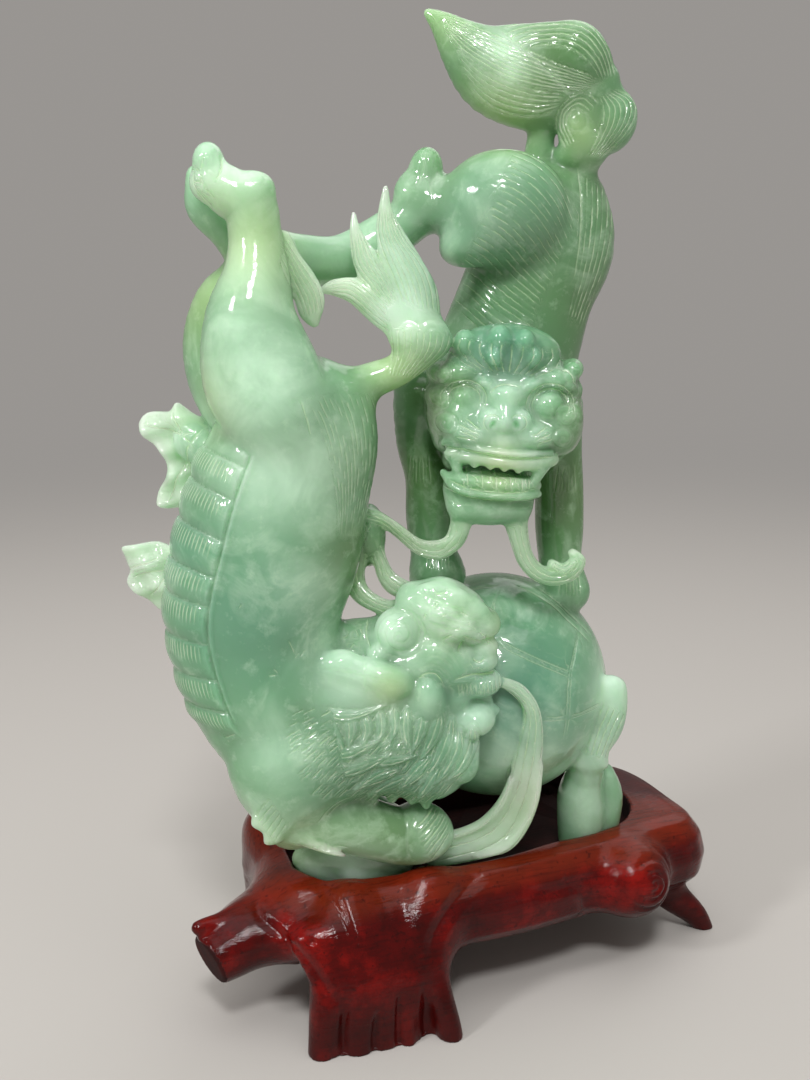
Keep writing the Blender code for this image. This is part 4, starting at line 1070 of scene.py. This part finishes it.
# Folds along the ribbons and the streamers.
bands = Drawing((-80, 34), (64, 162))
for rows in (MOUTH_RIBBON, *STREAMERS.values()):
    path = np.array(rows)[:, [0, 2]]
    half = np.array(rows)[:, 3]
    turn = np.gradient(path, axis=0)
    turn = np.stack([-turn[:, 1], turn[:, 0]], axis=1) / np.linalg.norm(turn, axis=1)[:, None]
    to_edge = turn * half[:, None] * 0.9
    bands.strands(path + to_edge, path - to_edge, 4, depth=0.2, broken=0.6)
for path in (
        [(-67, 158), (-60, 156), (-54, 156)], [(-60, 161), (-58, 157), (-54, 152)],
        [(-57, 148), (-60, 142), (-62, 137.6)], [(-52, 157), (-56, 152), (-56, 146)],
        [(-74, 119), (-70, 121), (-65, 122.6)], [(-72, 117), (-67, 119), (-62, 119)],
        [(-68, 112), (-65, 115), (-62, 120)]):
    bands.groove(path, 1.2, 0.5)
bands.strands([(61.4, 76), (58.6, 69.4), (56.4, 62.6)], [(54, 80), (51, 72), (49, 64)], 6, broken=0.2)
for path in (
        [(36.6, 62), (33.4, 52), (28, 45.6), (19.6, 41.6)], [(35, 57), (31, 48.6), (24, 43)],
        [(27, 55), (22, 49), (14, 44.6)]):
    bands.groove(path, 0.8, 0.4)
surface.engrave("mouth_ribbon post_strap " + " ".join([*RIBBON_ENDS, *STREAMERS]), bands)


# The stone is clouded: milky in places, olive where it is thick, blue-green in the ball, and yellow-green
# where it is worked thin. The olive patches also paint shade on parts that lie in shadow: the upper dog's
# back and the sides of its face, and the slab under the forearm. Each patch has a centre, a radius and a
# strength.
CLOUDS = {
    "milk": (
        ((-29, -22, 150), 15, 1.0), ((-24, -20, 121), 9, 0.5), ((-35, -24, 170), 15, 1.0),
        ((-37, -22, 184), 10, 0.9), ((-38, -20, 196), 12, 0.6), ((8, -15, 113), 12, 0.85),
        ((-12, -20, 96), 12, 1.0), ((-46, -14, 220), 13, 1.0), ((25, 10, 252), 6, 1.0),
        ((27, 10, 247), 4.6, 1.0), ((-5, -6, 200), 18, 1.0), ((18, -14, 82), 7, 1.0),
        ((-62, 0, 153), 16, 1.0), ((-68, 0, 120), 12, 1.0), ((22, -5, 42), 12, 0.9),
        ((33, -6, 65), 14, 0.8), ((53, 12, 64), 14, 1.0), ((55, 12, 82), 10, 0.9), ((6, -10, 48), 7, 0.6),
        ((17, -12, 82), 8, 0.8), ((24, -8, 157), 11, 0.7), ((25, -6, 166), 6, 0.5),
        ((-5, -16, 106), 8, 0.9), ((20, -2, 214), 12, 0.35), ((-32, -28, 78), 10, 0.6),
        ((-34, -24, 60), 10, 0.5), ((24, -6, 126), 10, 0.5), ((-2, -6, 187), 8, 1.8),
        ((19, -12, 103), 8, 0.9), ((-1, -18, 100), 7, 0.6), ((-16, -8, 40), 14, 0.9),
        ((51, 10, 48), 11, 0.8), ((2, 6, 218), 10, 0.3), ((-20, 8, 200), 17, 0.6), ((-14, -20, 97), 9, 1.0),
        ((22, -10, 98), 9, 0.7), ((4, -22, 90), 6, 0.7),
    ),
    # olive: the stone's darker tone where it is thick, and painted shade on parts that lie in shadow
    "olive_and_shade": (
        ((38, 26, 190), 26, 0.9), ((44, 26, 212), 20, 0.8), ((5, 22, 142), 20, 1.0),
        ((43, 24, 138), 24, 1.0), ((-14, 0, 122), 12, 0.9), ((0, 0, 128), 12, 0.7), ((28, 30, 56), 18, 1.0),
        ((-48, 6, 180), 18, 0.5), ((6, 12, 164), 10, 0.8), ((46, 12, 160), 9, 0.8),
        ((42, 40, 190), 30, 0.7), ((-20, 20, 100), 40, 0.5), ((-6, -17, 50), 17, 1.0),
        ((36, 12, 250), 22, 0.8), ((16, 10, 248), 12, 0.5), ((-8, -20, 78), 20, 0.6),
        ((-17, -14, 148), 13, 0.7), ((7, 2, 160), 8, 1.0), ((44, 2, 158), 10, 1.0), ((14, -4, 168), 6, 0.6),
        ((24, -6, 208), 20, 0.5), ((-12, -16, 126), 14, 0.9), ((6, 6, 219), 15, 0.5),
        ((-30, -8, 41), 10, 1.0), ((-51, -16, 141), 10, 0.3), ((50, 14, 234), 9, 0.4),
    ),
    "teal": (
        ((26, 0, 86), 24, 1.0), ((25, -4, 178), 13, 0.9), ((25, -8, 157), 10, 0.6),
        ((-38, -24, 112), 24, 0.7), ((34, 14, 240), 14, 0.4), ((22, -4, 211), 18, 0.8),
        ((8, -18, 90), 8, 0.6), ((-6, -22, 74), 20, 1.0), ((-50, -16, 130), 18, 0.6),
        ((-16, -10, 140), 10, 0.4),
    ),
    "straw": (
        ((-48, -16, 166), 10, 0.5), ((12, -12, 108), 8, 0.35), ((-36, -16, 203), 12, 0.6),
        ((-44, -16, 212), 8, 0.4), ((-48, 0, 190), 12, 0.5), ((44, 6, 230), 8, 0.6),
        ((24, 12, 234), 12, 0.6), ((8, 14, 260), 9, 0.4), ((-2, -4, 172), 10, 0.7), ((35, -6, 56), 9, 0.4),
        ((24, -9, 148), 6, 0.8), ((24, -10, 106), 7, 0.4), ((-14, -4, 190), 10, 0.3),
        ((-30, -16, 54), 12, 0.4), ((-4, -22, 93), 5, 0.6),
    ),
}
values = {}
for tint, patches in CLOUDS.items():
    values[tint] = np.zeros(len(surface.points))
    for place, radius, strength in patches:
        away = ((surface.points - place) ** 2).sum(axis=1)
        values[tint] = np.maximum(values[tint], strength * np.exp(-away / radius**2))
for name in ("engraved", "across", "along", "gap", "broken", "hair"):
    values[name] = getattr(surface, name)
THIN = 3.5  # millimetres of stone that light passes
worked_thin = surface.parts(" ".join([
    "tail_left tail_middle tail_main tail_stem tail_knob hock_hair elbow_hair plume_stem mouth_ribbon",
    "post_strap gums", *RIBBON_ENDS, *STREAMERS]))
# how little stone lies behind each point of the worked-thin parts; it drives a painted glow in the colour
values["thin"] = (1 - surface.depth_of_stone(THIN) / THIN) * worked_thin
surface.points += surface.outward * surface.lift[:, None]


def to_stand(points):
    """From the carving's own layout in millimetres to its place on the stand in metres."""
    c, s = math.cos(BEST_SIDE), math.sin(BEST_SIDE)
    x, y, z = points.T * MM
    return np.stack([x * c - y * s + carving_origin.x, x * s + y * c + carving_origin.y, z], axis=1)


def mesh_object(name, points, faces):
    """An object in the scene, from points and from faces that all have as many corners."""
    data = bpy.data.meshes.new(name)
    data.vertices.add(len(points))
    data.vertices.foreach_set("co", points.astype(np.float32).ravel())
    data.loops.add(faces.size)
    data.loops.foreach_set("vertex_index", faces.ravel().astype(np.int32))
    data.polygons.add(len(faces))
    data.polygons.foreach_set("loop_start", np.arange(0, faces.size, faces.shape[1], dtype=np.int32))
    data.update(calc_edges=True)
    data.validate()
    data.shade_smooth()
    obj = bpy.data.objects.new(name, data)
    bpy.context.scene.collection.objects.link(obj)
    return obj


def thinned(name, points, faces, values, most):
    """A mesh of the surface with no more than most triangles, fewest where it is smooth, and with its values
    carried along."""
    shape = mesh_object(name, points, faces)
    for key, value in values.items():
        shape.data.attributes.new(key, "FLOAT", "POINT").data.foreach_set("value", value.astype(np.float32))
    if 2 * len(faces) > most:
        cutter = shape.modifiers.new("thin", "DECIMATE")
        cutter.ratio = most / (2 * len(faces))
        cutter.use_collapse_triangulate = True
    graph = bpy.context.evaluated_depsgraph_get()
    less = bpy.data.meshes.new_from_object(shape.evaluated_get(graph))
    bpy.data.objects.remove(shape)
    less.name = name
    return less


def place_mesh(mesh, move):
    """Move a mesh's points with a function, and put it in the scene."""
    place = np.empty(len(mesh.vertices) * 3, np.float32)
    mesh.vertices.foreach_get("co", place)
    mesh.vertices.foreach_set("co", move(place.reshape(-1, 3).astype(float)).astype(np.float32).ravel())
    mesh.update()
    obj = bpy.data.objects.new(mesh.name, mesh)
    bpy.context.scene.collection.objects.link(obj)
    return obj


jade_mesh = thinned("jade_foo_dogs", surface.points, surface.faces, values, JADE_TRIANGLES)
jade_piece = place_mesh(jade_mesh, to_stand)


def linear(code):
    """A hex sRGB colour as the linear values that a shader takes."""
    parts = [int(code[i:i + 2], 16) / 255 for i in (1, 3, 5)]
    return (*(v / 12.92 if v <= 0.04045 else ((v + 0.055) / 1.055) ** 2.4 for v in parts), 1)


def node(tree, kind, settings=None, **links):
    """Add a node. Settings are its properties, or its inputs by name or number. Links join other nodes'
    outputs to its inputs, by name with underscores for spaces, or as at0, at1 and so on by number."""
    made = tree.nodes.new(kind)
    for key, value in (settings or {}).items():
        if isinstance(key, str) and hasattr(made, key) and key not in made.inputs:
            setattr(made, key, value)
        else:
            made.inputs[key].default_value = value
    for key, source in links.items():
        socket = int(key[2:]) if key.startswith("at") else key.replace("_", " ")
        tree.links.new(source, made.inputs[socket])
    return made


# Polished serpentine jade: light goes a centimetre into it before it comes back, so it glows where it is
# thin, and that glow is also painted into the colour of the thin parts as a paler tint. The body is hard and
# glassy; the wheel's cuts are left unpolished, so they look whiter and duller.
# Real polishing pits are finer than these: they are drawn as coarse as they need to be to show.
CLOUD, WISP, FLECK, RIPPLE, PIT = 0.02, 0.03, 0.004, 0.004, 0.0007  # widths in metres
jade_finish = bpy.data.materials.new("polished_serpentine_jade")
jade_finish.use_nodes = True
tree = jade_finish.node_tree
shader = tree.nodes["Principled BSDF"]
place_node = node(tree, "ShaderNodeTexCoord").outputs["Object"]
cloud = node(
    tree, "ShaderNodeTexNoise", {"Scale": 1 / CLOUD, "Detail": 4, "Roughness": 0.55, "Distortion": 0.8},
    Vector=place_node).outputs["Fac"]
wisp = node(
    tree, "ShaderNodeTexNoise", {"Scale": 1 / WISP, "Detail": 5, "Roughness": 0.55, "Distortion": 2.0},
    Vector=place_node).outputs["Fac"]
fleck = node(
    tree, "ShaderNodeTexNoise", {"Scale": 1 / FLECK, "Detail": 4, "Roughness": 0.65},
    Vector=place_node).outputs["Fac"]


# these four add to the material that is being made
def share_of(source, low, high, most=1.0, least=0.0):
    """A value read between low and high as a share."""
    settings = {"From Min": low, "From Max": high, "To Min": least, "To Max": most}
    return node(tree, "ShaderNodeMapRange", settings, Value=source).outputs[0]


def both(one, other):
    """One share of another."""
    return node(tree, "ShaderNodeMath", {"operation": "MULTIPLY"}, at0=one, at1=other).outputs[0]


def tinted(under, share, code):
    """The colour below, covered with a hex colour by some share."""
    mix = node(tree, "ShaderNodeMix", {"data_type": "RGBA"}, at0=share, at6=under)
    mix.inputs[7].default_value = linear(code)
    return mix.outputs[2]


def attribute(name):
    """A value that the mesh carries."""
    return node(tree, "ShaderNodeAttribute", {"attribute_name": name}).outputs["Fac"]


body = node(tree, "ShaderNodeRGB")
body.outputs[0].default_value = linear("#78A87F")
patchy = share_of(cloud, 0.34, 0.62, 1.0, 0.55)
vein = both(share_of(wisp, 0.42, 0.5), share_of(wisp, 0.58, 0.5))
colour = tinted(body.outputs[0], share_of(cloud, 0.44, 0.7, 0.45), "#A0CCA4")
colour = tinted(colour, attribute("teal"), "#68A088")
# olive tint: partly the stone's own tone, partly painted shade on the upper dog's back, the sides of its face
# and the slab
colour = tinted(colour, attribute("olive_and_shade"), "#5A7F48")
colour = tinted(colour, both(attribute("milk"), patchy), "#CFEED5")
colour = tinted(colour, both(vein, share_of(cloud, 0.45, 0.6, 0.25)), "#D0EBD0")
colour = tinted(colour, share_of(fleck, 0.56, 0.72, 0.22), "#D6EED5")
colour = tinted(colour, share_of(attribute("straw"), 0, 1, 0.7), "#C8DC98")
# painted glow: thin parts are tinted paler, for light passing through them
colour = tinted(colour, share_of(attribute("thin"), 0.1, 0.9, 0.5), "#CBE6C2")
colour = tinted(colour, share_of(attribute("engraved"), 0.06, 0.45, 0.3), "#DFF2DC")
# the strands of hair, too fine for the mesh to hold: a cut between each and the next, and each coming and
# going along its length in its own dashes
strand = node(tree, "ShaderNodeMath", {"operation": "ROUND"}, at0=attribute("across")).outputs[0]
off_cut = node(tree, "ShaderNodeMath", {"operation": "PINGPONG", 1: 0.5}, at0=attribute("across")).outputs[0]
strand_step = node(tree, "ShaderNodeMath", {"operation": "MULTIPLY", 1: 3.7}, at0=strand).outputs[0]
spot = node(tree, "ShaderNodeCombineXYZ", at0=strand_step, at1=attribute("along")).outputs[0]
dashes = node(tree, "ShaderNodeTexNoise", {"Scale": 1.0, "Detail": 1}, Vector=spot).outputs["Fac"]
coming = share_of(dashes, 0.44, 0.54)
whole = node(tree, "ShaderNodeMath", {"operation": "SUBTRACT", 0: 1.0}, at1=attribute("broken")).outputs[0]
kept = node(tree, "ShaderNodeMath", {"operation": "MAXIMUM"}, at0=coming, at1=whole).outputs[0]
hair_cut = both(both(share_of(both(off_cut, attribute("gap")), 0.3, 0.05), kept), attribute("hair"))
colour = tinted(colour, share_of(hair_cut, 0, 1, 0.5), "#DDF0CE")
tree.links.new(colour, shader.inputs["Base Color"])
dull = share_of(attribute("engraved"), 0.0, 0.4, 0.2, 0.1)
tree.links.new(dull, shader.inputs["Roughness"])
ripple = node(tree, "ShaderNodeTexNoise", {"Scale": 1 / RIPPLE, "Detail": 2}, Vector=place_node)
pits = node(tree, "ShaderNodeTexNoise", {"Scale": 1 / PIT, "Detail": 2}, Vector=place_node)
wavy = node(tree, "ShaderNodeBump", {"Strength": 0.5, "Distance": 0.00035}, Height=ripple.outputs["Fac"])
pitted = node(
    tree, "ShaderNodeBump", {"Strength": 0.12, "Distance": 0.0001}, Height=pits.outputs["Fac"],
    Normal=wavy.outputs[0])
combed = node(
    tree, "ShaderNodeBump", {"Strength": 1.0, "Distance": 0.0004, "invert": True}, Height=hair_cut,
    Normal=pitted.outputs[0])
tree.links.new(combed.outputs[0], shader.inputs["Normal"])
shader.inputs["IOR"].default_value = 1.56
shader.inputs["Subsurface Weight"].default_value = 1.0
shader.inputs["Subsurface Radius"].default_value = (0.8, 1.0, 0.8)
shader.inputs["Subsurface Scale"].default_value = 0.0095
jade_piece.data.materials.clear()
jade_piece.data.materials.append(jade_finish)
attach(jade_piece, "root")
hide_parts("jade_carving")


# ---------------------------------------------------------------------------------------------------------
# The stand: one piece of hardwood carved like a gnarled root, with a sunk bed that the jade sits in, a
# fluted buttress for a front foot, a sawn branch at the left and a burl at the right, stained and lacquered
# dark red. Lengths are millimetres in the stand's own layout: x along it, y to the back, z up.
STAND_OUTLINE = [
    (-46, -9), (-34, -13.5), (-13, -18), (11, -19.5), (30, -18), (46, -16), (62, -14.5), (71, -12), (73, 2),
    (74, 18), (71, 28), (62, 31), (40, 31), (10, 32), (-18, 31), (-36, 28), (-43, 18), (-46, 4),
]
RIM_HEIGHT, BED_HEIGHT = 38.5, 31.0
# the plate cut through at its edge: how far outside the outline, and how high
RIM_PROFILE = [
    (-60, 37), (-6, RIM_HEIGHT - 0.6), (0, RIM_HEIGHT), (4, 37.5), (7.5, 33), (9, 27), (8, 21), (4, 17),
    (-4, 15.5), (-60, 15.5),
]
STAND_TRIANGLES = 120000
STAND_AT = (75.7, 39.1)  # the layout's zero, from the stand's left front corner
wood = Block((-92, -48, -2), (96, 48, 50), 0.55)
slices, x, y, z = wood.window(wood.low, wood.low + wood.grid * wood.counts)
outline = through([*STAND_OUTLINE, STAND_OUTLINE[0]], 4)[:-1]
out = off_edge(outline, x[:, :, 0], y[:, :, 0])
STEP = 0.3  # millimetres between the places that the edge's shape is looked up at
steps_out = np.arange(-45, 60, STEP)
off_profile = off_edge(np.array(RIM_PROFILE, float), steps_out[:, None], z[0, 0][None, :])
rank = np.clip((out - steps_out[0]) / STEP, 0, len(steps_out) - 1.01)
whole, part = rank.astype(int), (rank % 1)[:, :, None]
plate = (off_profile[whole] * (1 - part) + off_profile[whole + 1] * part).astype(np.float32)
wood.add(slices, plate, 1, "plate")
limb(wood, "front_foot", [
    (-30, -21, 25, 24, 8), (-31, -26, 16, 19.4, 7.4), (-32, -28, 8, 18, 6.6), (-32, -28.6, 2, 18.4, 6.2),
    (-32, -29, -6, 18.8, 6.2),
], blend=6)
for rows in (
        [(-38, 29, 24, 13, 8), (-40, 32, 12, 10, 7), (-41, 34, -6, 12, 7.5)],
        [(62, 29, 24, 13, 8), (66, 32, 12, 9, 7), (67, 34, -6, 11, 7.5)],
        [(64, -4, 22, 9, 9), (72, -9, 11, 5.4, 5), (79, -13, 4, 3.6, 3.6), (82, -15, -1, 2.4, 2.4)]):
    limb(wood, "foot", rows, blend=6)
limb(wood, "branch", [
    (-40, 0, 27, 10, 16), (-52, -4, 25.6, 10, 13), (-61, -6, 24.2, 8.8, 10.5), (-67, -7.5, 22.2, 7.8, 8.5),
    (-75, -9, 19.6, 6.2, 6.6),
], blend=6)
# the branch is sawn off square, below the stub that grows out over it
BRANCH_WAY = np.array((-10, -2, -3.6)) / math.sqrt(117)
SAWN_AT = (-72, -8, 20)
BRANCH_CLEAR_X, STUB_FOOT = -63, 26.5
past_saw = sum((line - at) * way for line, at, way in zip((x, y, z), SAWN_AT, BRANCH_WAY))
past_saw = np.where((x < BRANCH_CLEAR_X) & (z < STUB_FOOT), past_saw, -FAR_AWAY)
wood.outside = np.maximum(wood.outside, past_saw).astype(np.float32)
limb(wood, "stub", [
    (-60, -5, 29.6, 4, 4), (-67, -6.5, 29.6, 2.8, 2.8), (-71.6, -7, 29.8, 2.2, 2.2),
    (-74.4, -7.4, 29.8, 1.9, 1.9),
], blend=2)
mass(wood, "burl", (48, -21.6, 26.4), (12, 12.6, 11.4), blend=4)
# the buttress: two ridges run down from the rim, and flutes end in toes
for rows in (
        [(-37, -18, 33, 6, 6), (-36.6, -24, 24, 6.6, 6), (-36, -28, 12, 7, 6)],
        [(-12, -20, 33, 9, 6), (-17, -25, 24, 8, 6), (-21, -28, 12, 6, 6)]):
    limb(wood, "front_foot", rows, blend=4)
for rows in (
        [(-42, -20, 26, 5, 6), (-46.4, -27, 12, 4.4, 5), (-48.8, -29.4, 2, 3.4, 3.8),
         (-49.4, -30, -4, 3.4, 3.8)],
        [(-18, -22, 26, 5, 6), (-17, -30, 12, 4, 5), (-15.4, -34.8, 2, 3.4, 4.2), (-15, -35.4, -4, 3.4, 4.2)],
        [(-39, -24, 18, 2, 4), (-39.6, -29, 8, 2.6, 4), (-40, -31.6, -4, 3, 4.2)],
        [(-31.6, -24, 18, 2, 4), (-32.4, -30, 8, 2, 4), (-32.6, -31.4, -4, 2.2, 3.8)],
        [(-26, -24, 18, 2, 4), (-26.4, -30, 8, 2.2, 4), (-26.6, -32.8, -4, 2.6, 4.2)]):
    limb(wood, "front_foot", rows, blend=1.6)
mass(wood, "corner", (-43, 27, 35), (8.2, 12, 9.5), blend=5)
wood.ease(2)
# the sunk bed, and the flat that the feet stand on
BED_OUTLINE = [
    (-45.5, -2), (-42, -9), (-37, -12.5), (-20, -15.6), (-4, -17.5), (12, -17), (27, -14.4), (42, -14),
    (54, -9), (62, 0), (65, 12), (64, 23), (57, 29), (40, 30.5), (10, 31.5), (-18, 30.5), (-35, 27),
    (-42, 16),
]
bed_out = off_edge(through([*BED_OUTLINE, BED_OUTLINE[0]], 4)[:-1], x[:, :, 0], y[:, :, 0])
bed = np.maximum((bed_out - 0.5)[:, :, None], BED_HEIGHT - z).astype(np.float32)
wood.take(slices, bed, 1.2)
wood.outside = np.maximum(wood.outside, -z).astype(np.float32)

# Gouge cuts between the flutes, round the burl and along the rim. The sawn end, the bed, the feet and the
# right end are darker, and the rim is paler. The darkening of the feet towards the bottom, of the right end
# and of the spur is painted shade; the bed's is partly bare wood and partly painted shade in the well under
# the jade, and the sawn end's is end grain.
timber = Surface(wood)
apron = Drawing((-90, 0), (95, 48), 0.25)
for path, width, depth in (
        ([(-44, 40), (-41.5, 35), (-40.5, 28), (-41, 20)], 5, 0.8),
        ([(-34, 38), (-33.4, 34), (-33, 28)], 6, 0.4), ([(0, 38), (-9, 33), (-17, 27), (-19, 20)], 6, 1.3),
        ([(-24, 34), (-25, 27), (-25, 18)], 5, 0.4), ([(-60, 33), (-51, 24), (-46, 14)], 4, 1.0),
        ([(-43, 16), (-44, 8), (-44.4, -3)], 3.4, 1.4), ([(-35.4, 12), (-36, 6), (-36.2, -3)], 3, 1.2),
        ([(-29, 14), (-29.4, 6), (-29.6, -3)], 2.8, 1.2), ([(-22, 16), (-21.4, 8), (-21, -3)], 4, 1.4),
        ([(24, 33), (30, 26), (33, 18)], 6, 0.8), ([(8, 34), (20, 30), (34, 31)], 5, 0.4)):
    apron.groove(path, width, depth, run_out=0.3)
turns = np.linspace(-2.6, 2.2, 12)
for radius, depth in ((1.6, 0.7), (4.4, 0.9), (8, 0.9)):
    ring = [(49.4 + radius * math.cos(t), 28 + radius * 0.85 * math.sin(t)) for t in turns]
    apron.groove(ring, 1.8, depth, run_out=0.15)
apron.groove([(-49.6, 29), (-49, 29)], 1.6, 1.0, run_out=0)
timber.engrave("plate front_foot foot branch stub burl corner", apron)
plan = (timber.points[:, :2] - wood.low[:2]) / wood.grid
plan = np.clip(np.round(plan).astype(int), 0, np.array(out.shape) - 1)
x, y, z = timber.points.T
in_bed = (bed_out[tuple(plan.T)] < 0.9) & (z < RIM_HEIGHT - 0.6)
end_grain = (x < BRANCH_CLEAR_X) & (z < STUB_FOOT) & (np.abs((timber.points - SAWN_AT) @ BRANCH_WAY) < 0.8)
# painted shade: the right end and the spur, which lie in shadow, are darkened and made matte
right = ease_in(x + y, 62, 78) * ease_in(z, 20, 34)
spur = ease_in(x - y, 70, 78) * ease_in(-z, -26, -18)
wood_values = {
    "rim": ease_in(z, 31, 36.5) * ~in_bed * (1 - right),
    # the well's bare wood, darkened almost to black with painted shade under the jade, and the sawn end grain
    "bed": np.maximum(in_bed & (z > BED_HEIGHT - 1), end_grain * 0.8),
    # painted shade, darker towards the bottom of the feet, at the right end and on the spur, and matte there
    "low": np.maximum(np.maximum(ease_in(-z, -24, -4), right), spur),
}
timber.points += timber.outward * timber.lift[:, None]


def stand_place(points):
    """From the stand's own layout in millimetres to metres."""
    return points * MM + (stand_low.x + STAND_AT[0] * MM, stand_low.y + STAND_AT[1] * MM, 0)


stand_mesh = thinned("root_stand", timber.points, timber.faces, wood_values, STAND_TRIANGLES)
stand_piece = place_mesh(stand_mesh, stand_place)

# Lacquered rosewood-red hardwood: stain lies dark in the pores, the rim is rubbed back to orange-brown, and
# the clear coat is glossy with a fine grain telegraphing through it. The grain runs along the stand, in
# streaks about 17 mm long and 1 mm wide, which is as fine as shows.
BLOTCH, PORE = 0.012, 0.0016        # widths in metres
GRAIN_PER_METRE = (60, 900, 900)
GLOSS = 0.11
lacquer = bpy.data.materials.new("red_lacquered_hardwood")
lacquer.use_nodes = True
tree = lacquer.node_tree
shader = tree.nodes["Principled BSDF"]
place_node = node(tree, "ShaderNodeTexCoord").outputs["Object"]
grain_place = node(tree, "ShaderNodeMapping", {"Scale": GRAIN_PER_METRE}, Vector=place_node).outputs[0]
grain = node(
    tree, "ShaderNodeTexNoise", {"Scale": 1.0, "Detail": 5, "Roughness": 0.6, "Distortion": 0.3},
    Vector=grain_place).outputs["Fac"]
blotch = node(
    tree, "ShaderNodeTexNoise", {"Scale": 1 / BLOTCH, "Detail": 5, "Roughness": 0.65},
    Vector=place_node).outputs["Fac"]
pores = node(
    tree, "ShaderNodeTexNoise", {"Scale": 1 / PORE, "Detail": 2, "Roughness": 0.6},
    Vector=place_node).outputs["Fac"]
body = node(tree, "ShaderNodeRGB")
body.outputs[0].default_value = linear("#4C0504")
colour = tinted(body.outputs[0], share_of(blotch, 0.5, 0.72, 0.8), "#88100A")
colour = tinted(colour, share_of(blotch, 0.48, 0.3, 0.75), "#1E0504")
# painted shade: darker towards the bottom, at the right end and on the spur
colour = tinted(colour, share_of(attribute("low"), 0, 1, 0.55), "#300806")
colour = tinted(colour, share_of(attribute("rim"), 0, 1, 0.65), "#722610")
# the bed: bare wood with painted shade in the well under the jade, and the darker sawn end grain
colour = tinted(colour, share_of(attribute("bed"), 0, 1, 0.9), "#0D0504")
colour = tinted(colour, share_of(grain, 0.5, 0.7, 0.45), "#1E0504")
colour = tinted(colour, share_of(pores, 0.62, 0.7, 0.5), "#1E0504")
tree.links.new(colour, shader.inputs["Base Color"])
bed_dull = share_of(attribute("bed"), 0, 1, 1.0, GLOSS)
low_dull = share_of(attribute("low"), 0.7, 1, 0.4, GLOSS)
dull = node(tree, "ShaderNodeMath", {"operation": "MAXIMUM"}, at0=bed_dull, at1=low_dull).outputs[0]
tree.links.new(dull, shader.inputs["Roughness"])
shader.inputs["Specular IOR Level"].default_value = 0.22
coarse = node(tree, "ShaderNodeBump", {"Strength": 0.35, "Distance": 0.0004}, Height=grain)
fine = node(
    tree, "ShaderNodeBump", {"Strength": 0.3, "Distance": 0.00015}, Height=pores, Normal=coarse.outputs[0])
tree.links.new(fine.outputs[0], shader.inputs["Normal"])
stand_piece.data.materials.clear()
stand_piece.data.materials.append(lacquer)
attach(stand_piece, "root")
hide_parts("wood_stand")


# ---------------------------------------------------------------------------------------------------------
# A plain pale floor that melts into the studio's pale air with distance, and soft studio light.
AIR_COLOUR, AIR_LIGHT = "#E6E1DC", 0.4
FLOOR_REACH = 30  # metres each way
corners = np.array([(-1, -1, 0), (1, -1, 0), (1, 1, 0), (-1, 1, 0)], float) * FLOOR_REACH
floor = mesh_object("floor", corners, np.array([(0, 1, 2, 3)]))
pale = bpy.data.materials.new("pale_floor")
pale.use_nodes = True
tree = pale.node_tree
matt = tree.nodes["Principled BSDF"]
matt.inputs["Base Color"].default_value = linear("#B9B5B0")
matt.inputs["Roughness"].default_value = 0.9
air = node(tree, "ShaderNodeEmission", {"Color": linear(AIR_COLOUR), "Strength": AIR_LIGHT})
place_node = node(tree, "ShaderNodeTexCoord").outputs["Object"]
away = node(tree, "ShaderNodeVectorMath", {"operation": "LENGTH"}, at0=place_node)
haze = node(
    tree, "ShaderNodeMapRange", {"interpolation_type": "SMOOTHERSTEP", "From Min": 0.15, "From Max": 1.3},
    Value=away.outputs["Value"])
melted = node(tree, "ShaderNodeMixShader", at0=haze.outputs[0], at1=matt.outputs[0], at2=air.outputs[0])
tree.links.new(melted.outputs[0], tree.nodes["Material Output"].inputs["Surface"])
floor.data.materials.append(pale)
floor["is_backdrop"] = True
world = bpy.data.worlds.new("studio")
bpy.context.scene.world = world
world.use_nodes = True
background = world.node_tree.nodes["Background"]
background.inputs["Color"].default_value = linear(AIR_COLOUR)
background.inputs["Strength"].default_value = AIR_LIGHT
MIDDLE = Vector((0, 0, 0.13))


def lamp(name, place, size, power):
    """A soft square lamp, placed in metres from the carving as its best side is seen, aimed at its middle."""
    data = bpy.data.lights.new(name, "AREA")
    data.size = size
    data.energy = power
    obj = bpy.data.objects.new(name, data)
    bpy.context.scene.collection.objects.link(obj)
    c, s = math.cos(BEST_SIDE), math.sin(BEST_SIDE)
    obj.location = (place[0] * c - place[1] * s, place[0] * s + place[1] * c, place[2])
    obj.rotation_euler = (MIDDLE - obj.location).to_track_quat("-Z", "Y").to_euler()


lamp("key", (0.0, -0.8, 1.0), 0.19, 7.2)
lamp("ceiling", (0, -0.1, 1.5), 1.6, 10)
lamp("window_left", (-0.95, -0.75, 0.9), 0.2, 7)
lamp("back", (0.5, 1.1, 1.3), 1.2, 4)
bpy.context.scene.view_settings.view_transform = "Standard"
low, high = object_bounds()
